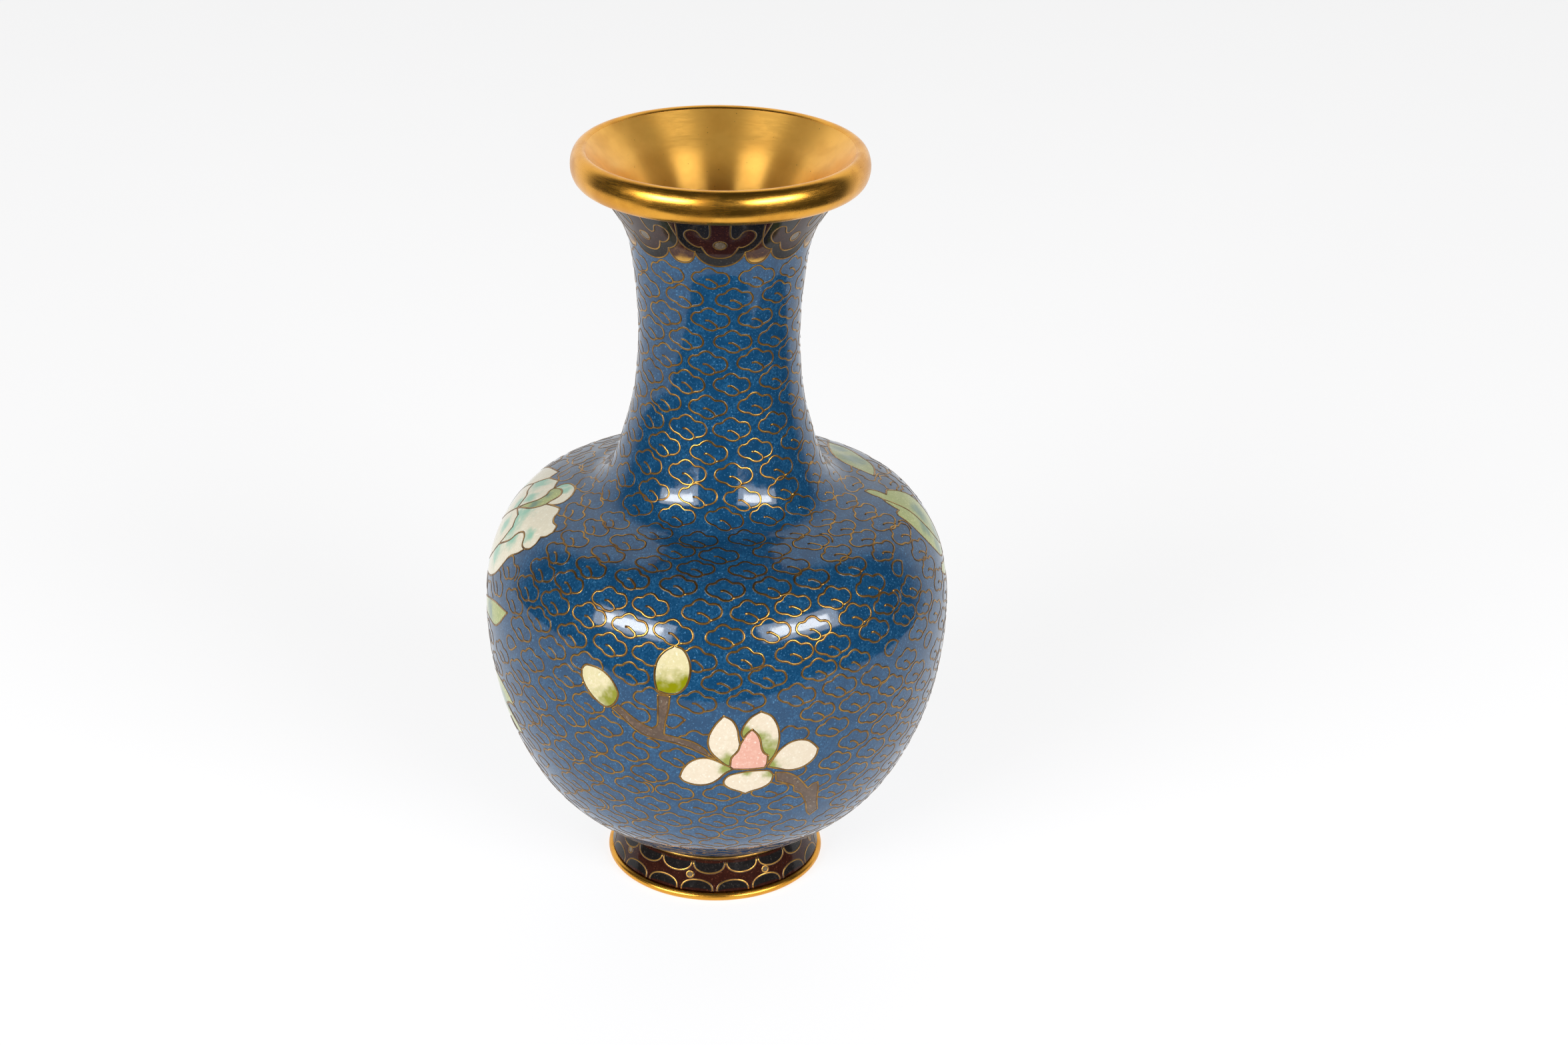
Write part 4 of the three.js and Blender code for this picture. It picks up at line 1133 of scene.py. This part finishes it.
# ---------------------------------------------------------------- lip, funnel and foot


def make_lip():
    radius, height = LIP_CENTRE
    arc = np.radians(np.linspace(LIP_FROM, LIP_CREST, 48))
    roll = np.stack([radius + LIP_ACROSS * np.cos(arc), height + LIP_UP * np.sin(arc)], axis=1)
    turn("lip_roll_gilt", [*roll, roll[-1] + LIP_LEDGE], gilt, ["lip_roll"])
    lower = wall.section(np.linspace(FUNNEL_START, FUNNEL_END, 5), FUNNEL_DEPTH)
    face = spline([*lower, (lower[-1] + roll[-1]) / 2, roll[-1] + FUNNEL_LAP], 12)
    back = face + FUNNEL_WALL
    turn("mouth_funnel_gilt", [*back, *face[::-1]], gilt_inside, ["mouth_funnel"])


def make_foot():
    roll = rim_height / 2
    arc = np.radians(np.linspace(-90, 90, 16))
    bead = np.stack([rim_radius - roll + roll * np.cos(arc), roll + roll * np.sin(arc)], axis=1)
    inside_edge = [[FOOT_RIM_INNER, rim_height], [FOOT_RIM_INNER, 0]]
    turn("foot_rim_gilt", [*bead, *inside_edge], gilt, ["foot_rim"])

    band = foot.section(np.linspace(0, FOOT_LENGTH, 12))
    back = foot.section(np.linspace(FOOT_LENGTH, 0, 12), FOOT_ENAMEL)
    turn("foot_band_enamel", [*band, *back], maroon, ["foot_band"])

    arc = np.radians(np.linspace(-90, 90, 9))
    centre = [ring_radius - RING_SECTION, (ring_bottom + ring_top) / 2]
    bead = centre + RING_SECTION * np.stack([np.cos(arc), np.sin(arc)], axis=1)
    outer, inner = SOLDER_WALL
    low, high = band_top - SOLDER_BELOW, base_top
    solder = [
        [outer, ring_top], [outer, high], [inner, high],
        [inner, low], [outer, low], [outer, ring_bottom],
    ]
    turn("foot_ring_wire", [*bead, *solder], wire, ["foot_wire_ring"])
    turn(
        "base_enamel_disc",
        [[0, base_bottom], [base_radius, base_bottom], [base_radius, base_top], [0, base_top]],
        turquoise, ["base_enamel"], sides=96,
    )
    make_scallops()


SCALLOPS = 18
STANDING = [-10, 8.7, 0.1, 2.2]  # angle of one, half its width, and the heights of its foot and peak
HANGING = [-3.5, 9.4, 5.8, 3.6]
FOOT_DOT = [-14.5, 3.1, 0.7]  # angle, height and radius of the first spot between the scallops
SLAB_DEPTHS = {"top": -0.015, "bottom": 0.3}  # the black glass stands a little proud of the maroon


def make_scallops():
    """Black scallops that stand on the rim and hang from the body, and their wires."""
    slabs, dots = Slabs(), Slabs()
    wires = []
    arch = np.radians(np.linspace(0, 180, 19))
    for first, half, base, peak in (STANDING, HANGING):
        for i in range(SCALLOPS):
            middle = first + i * 360 / SCALLOPS
            curve = np.stack([
                middle + half * np.cos(arch),
                base + (peak - base) * np.sin(arch) ** 0.8,
            ], axis=1)
            wires.append(curve)
            slabs.add(*simple_slab(foot, curve, 0.8, **SLAB_DEPTHS))
    for i in range(RUYI_HEADS):
        dot = circle(foot, FOOT_DOT[0] + i * RUYI_PITCH, *FOOT_DOT[1:], count=14, squash=0.9)
        wires.append(np.concatenate([dot, dot[:2]]))
        dots.add(*simple_slab(foot, dot, 0.5, **SLAB_DEPTHS))
    slabs.build("foot_scallops", black, "black_enamel")
    dots.build("foot_dots", grey_dot, "amber_enamel")
    make_wires("foot_wires", foot, wires, wire, wire_edge)


def dress_cad():
    """Gives the copper body, which stays as the CAD made it, its metal."""
    for name in ("neck_tube", "shoulder_shell", "belly_bowl", "foot_core"):
        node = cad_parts[name]
        node.data.materials.clear()
        node.data.materials.append(copper)


# ---------------------------------------------------------------- studio

CAMERA_PLACE = (0.0, -496.2, 307.8)
CAMERA_PITCH = 0.4401  # radians below the horizon
CAMERA_YAW = 0.0255  # towards +X
CAMERA_ROLL = 0.0190
CAMERA_LENS = 64.03
CAMERA_SHIFT = 0.0012


def make_camera():
    data = bpy.data.cameras.new("camera")
    data.sensor_width = 36
    data.lens = CAMERA_LENS
    data.shift_x = CAMERA_SHIFT
    data.clip_end = 20
    camera = add_object("camera", data)
    forward = Vector((
        math.sin(CAMERA_YAW) * math.cos(CAMERA_PITCH),
        math.cos(CAMERA_YAW) * math.cos(CAMERA_PITCH),
        -math.sin(CAMERA_PITCH),
    ))
    right = Vector((math.cos(CAMERA_YAW), -math.sin(CAMERA_YAW), 0))
    up = right.cross(forward)
    turned_right = right * math.cos(CAMERA_ROLL) + up * math.sin(CAMERA_ROLL)
    turned_up = up * math.cos(CAMERA_ROLL) - right * math.sin(CAMERA_ROLL)
    axes = Matrix((turned_right, turned_up, -forward)).transposed().to_4x4()
    camera.matrix_world = Matrix.Translation(Vector(CAMERA_PLACE) * MM) @ axes
    bpy.context.scene.camera = camera


LIGHT_TARGET = (0, 0, 0.08)  # metres, as are the sizes and places of the lights and the sheet


def soft_light(name, place, width, height, power):
    data = bpy.data.lights.new(name, "AREA")
    data.shape = "RECTANGLE"
    data.size = width
    data.size_y = height
    data.energy = power
    light = add_object(name, data)
    light.location = place
    light.rotation_euler = (Vector(LIGHT_TARGET) - Vector(place)).to_track_quat("-Z", "Y").to_euler()


# Corners of the white sheet that the vase stands on, which ends a little in front of the vase.
SHEET = [(-0.42, -0.16), (0.17, -0.16), (0.48, 0.8), (1.6, 1.6), (-1.6, 1.6), (-0.6, 0.8)]


def make_floor():
    mesh = bpy.data.meshes.new("floor")
    mesh.from_pydata([(x, y, 0) for x, y in SHEET], [], [range(len(SHEET))])
    nodes = Nodes("floor_paper", roughness=0.7)
    nodes.colour(nodes.mix(nodes.noise(60.0, 2.0), (0.30, 0.30, 0.305), (0.31, 0.31, 0.315)))
    nodes.shader.inputs["Emission Color"].default_value = (1, 1, 1, 1)
    nodes.shader.inputs["Emission Strength"].default_value = 0.75
    nodes.shader.inputs["Specular IOR Level"].default_value = 0.0
    mesh.materials.append(nodes.material)
    add_object("floor", mesh)


def make_world():
    """A dim room in front and overhead, with white paper behind the vase."""
    world = bpy.data.worlds.new("studio")
    bpy.context.scene.world = world
    world.use_nodes = True
    tree = world.node_tree
    background = tree.nodes["Background"]
    place = tree.nodes.new("ShaderNodeTexCoord")
    split = tree.nodes.new("ShaderNodeSeparateXYZ")
    tree.links.new(place.outputs["Generated"], split.inputs[0])
    behind = tree.nodes.new("ShaderNodeMapRange")
    behind.interpolation_type = "SMOOTHSTEP"
    tree.links.new(split.outputs["Y"], behind.inputs["Value"])
    for key, number in (("From Min", 0.25), ("From Max", 0.6), ("To Min", 0.045), ("To Max", 1.0)):
        behind.inputs[key].default_value = number
    ray = tree.nodes.new("ShaderNodeLightPath")
    choose = tree.nodes.new("ShaderNodeMix")
    tree.links.new(ray.outputs["Is Camera Ray"], choose.inputs["Factor"])
    tree.links.new(behind.outputs["Result"], choose.inputs[2])
    choose.inputs[3].default_value = 0.985
    tree.links.new(choose.outputs[0], background.inputs["Strength"])
    background.inputs["Color"].default_value = (1, 1, 1, 1)


def make_studio():
    """Two soft boxes, each with a bright middle and a dimmer border."""
    make_floor()
    make_world()
    for side, share in ((-1, 0.98), (1, 0.90)):
        place = (side * 0.86, -0.95, 0.53)
        soft_light(f"soft_box_{side}", place, 0.70, 0.20, 9.6 * share)
        soft_light(f"soft_border_{side}", place, 0.98, 0.41, 7.6 * share)
    view = bpy.context.scene.view_settings
    view.view_transform = "Standard"
    view.look = "None"


make_inlays()
make_ground()
make_wires("flower_wires", wall, unique_wires(wall, OUTLINES.values(), corners), wire, wire_edge)
make_clouds()
make_collar()
make_lip()
make_foot()
dress_cad()
make_camera()
make_studio()
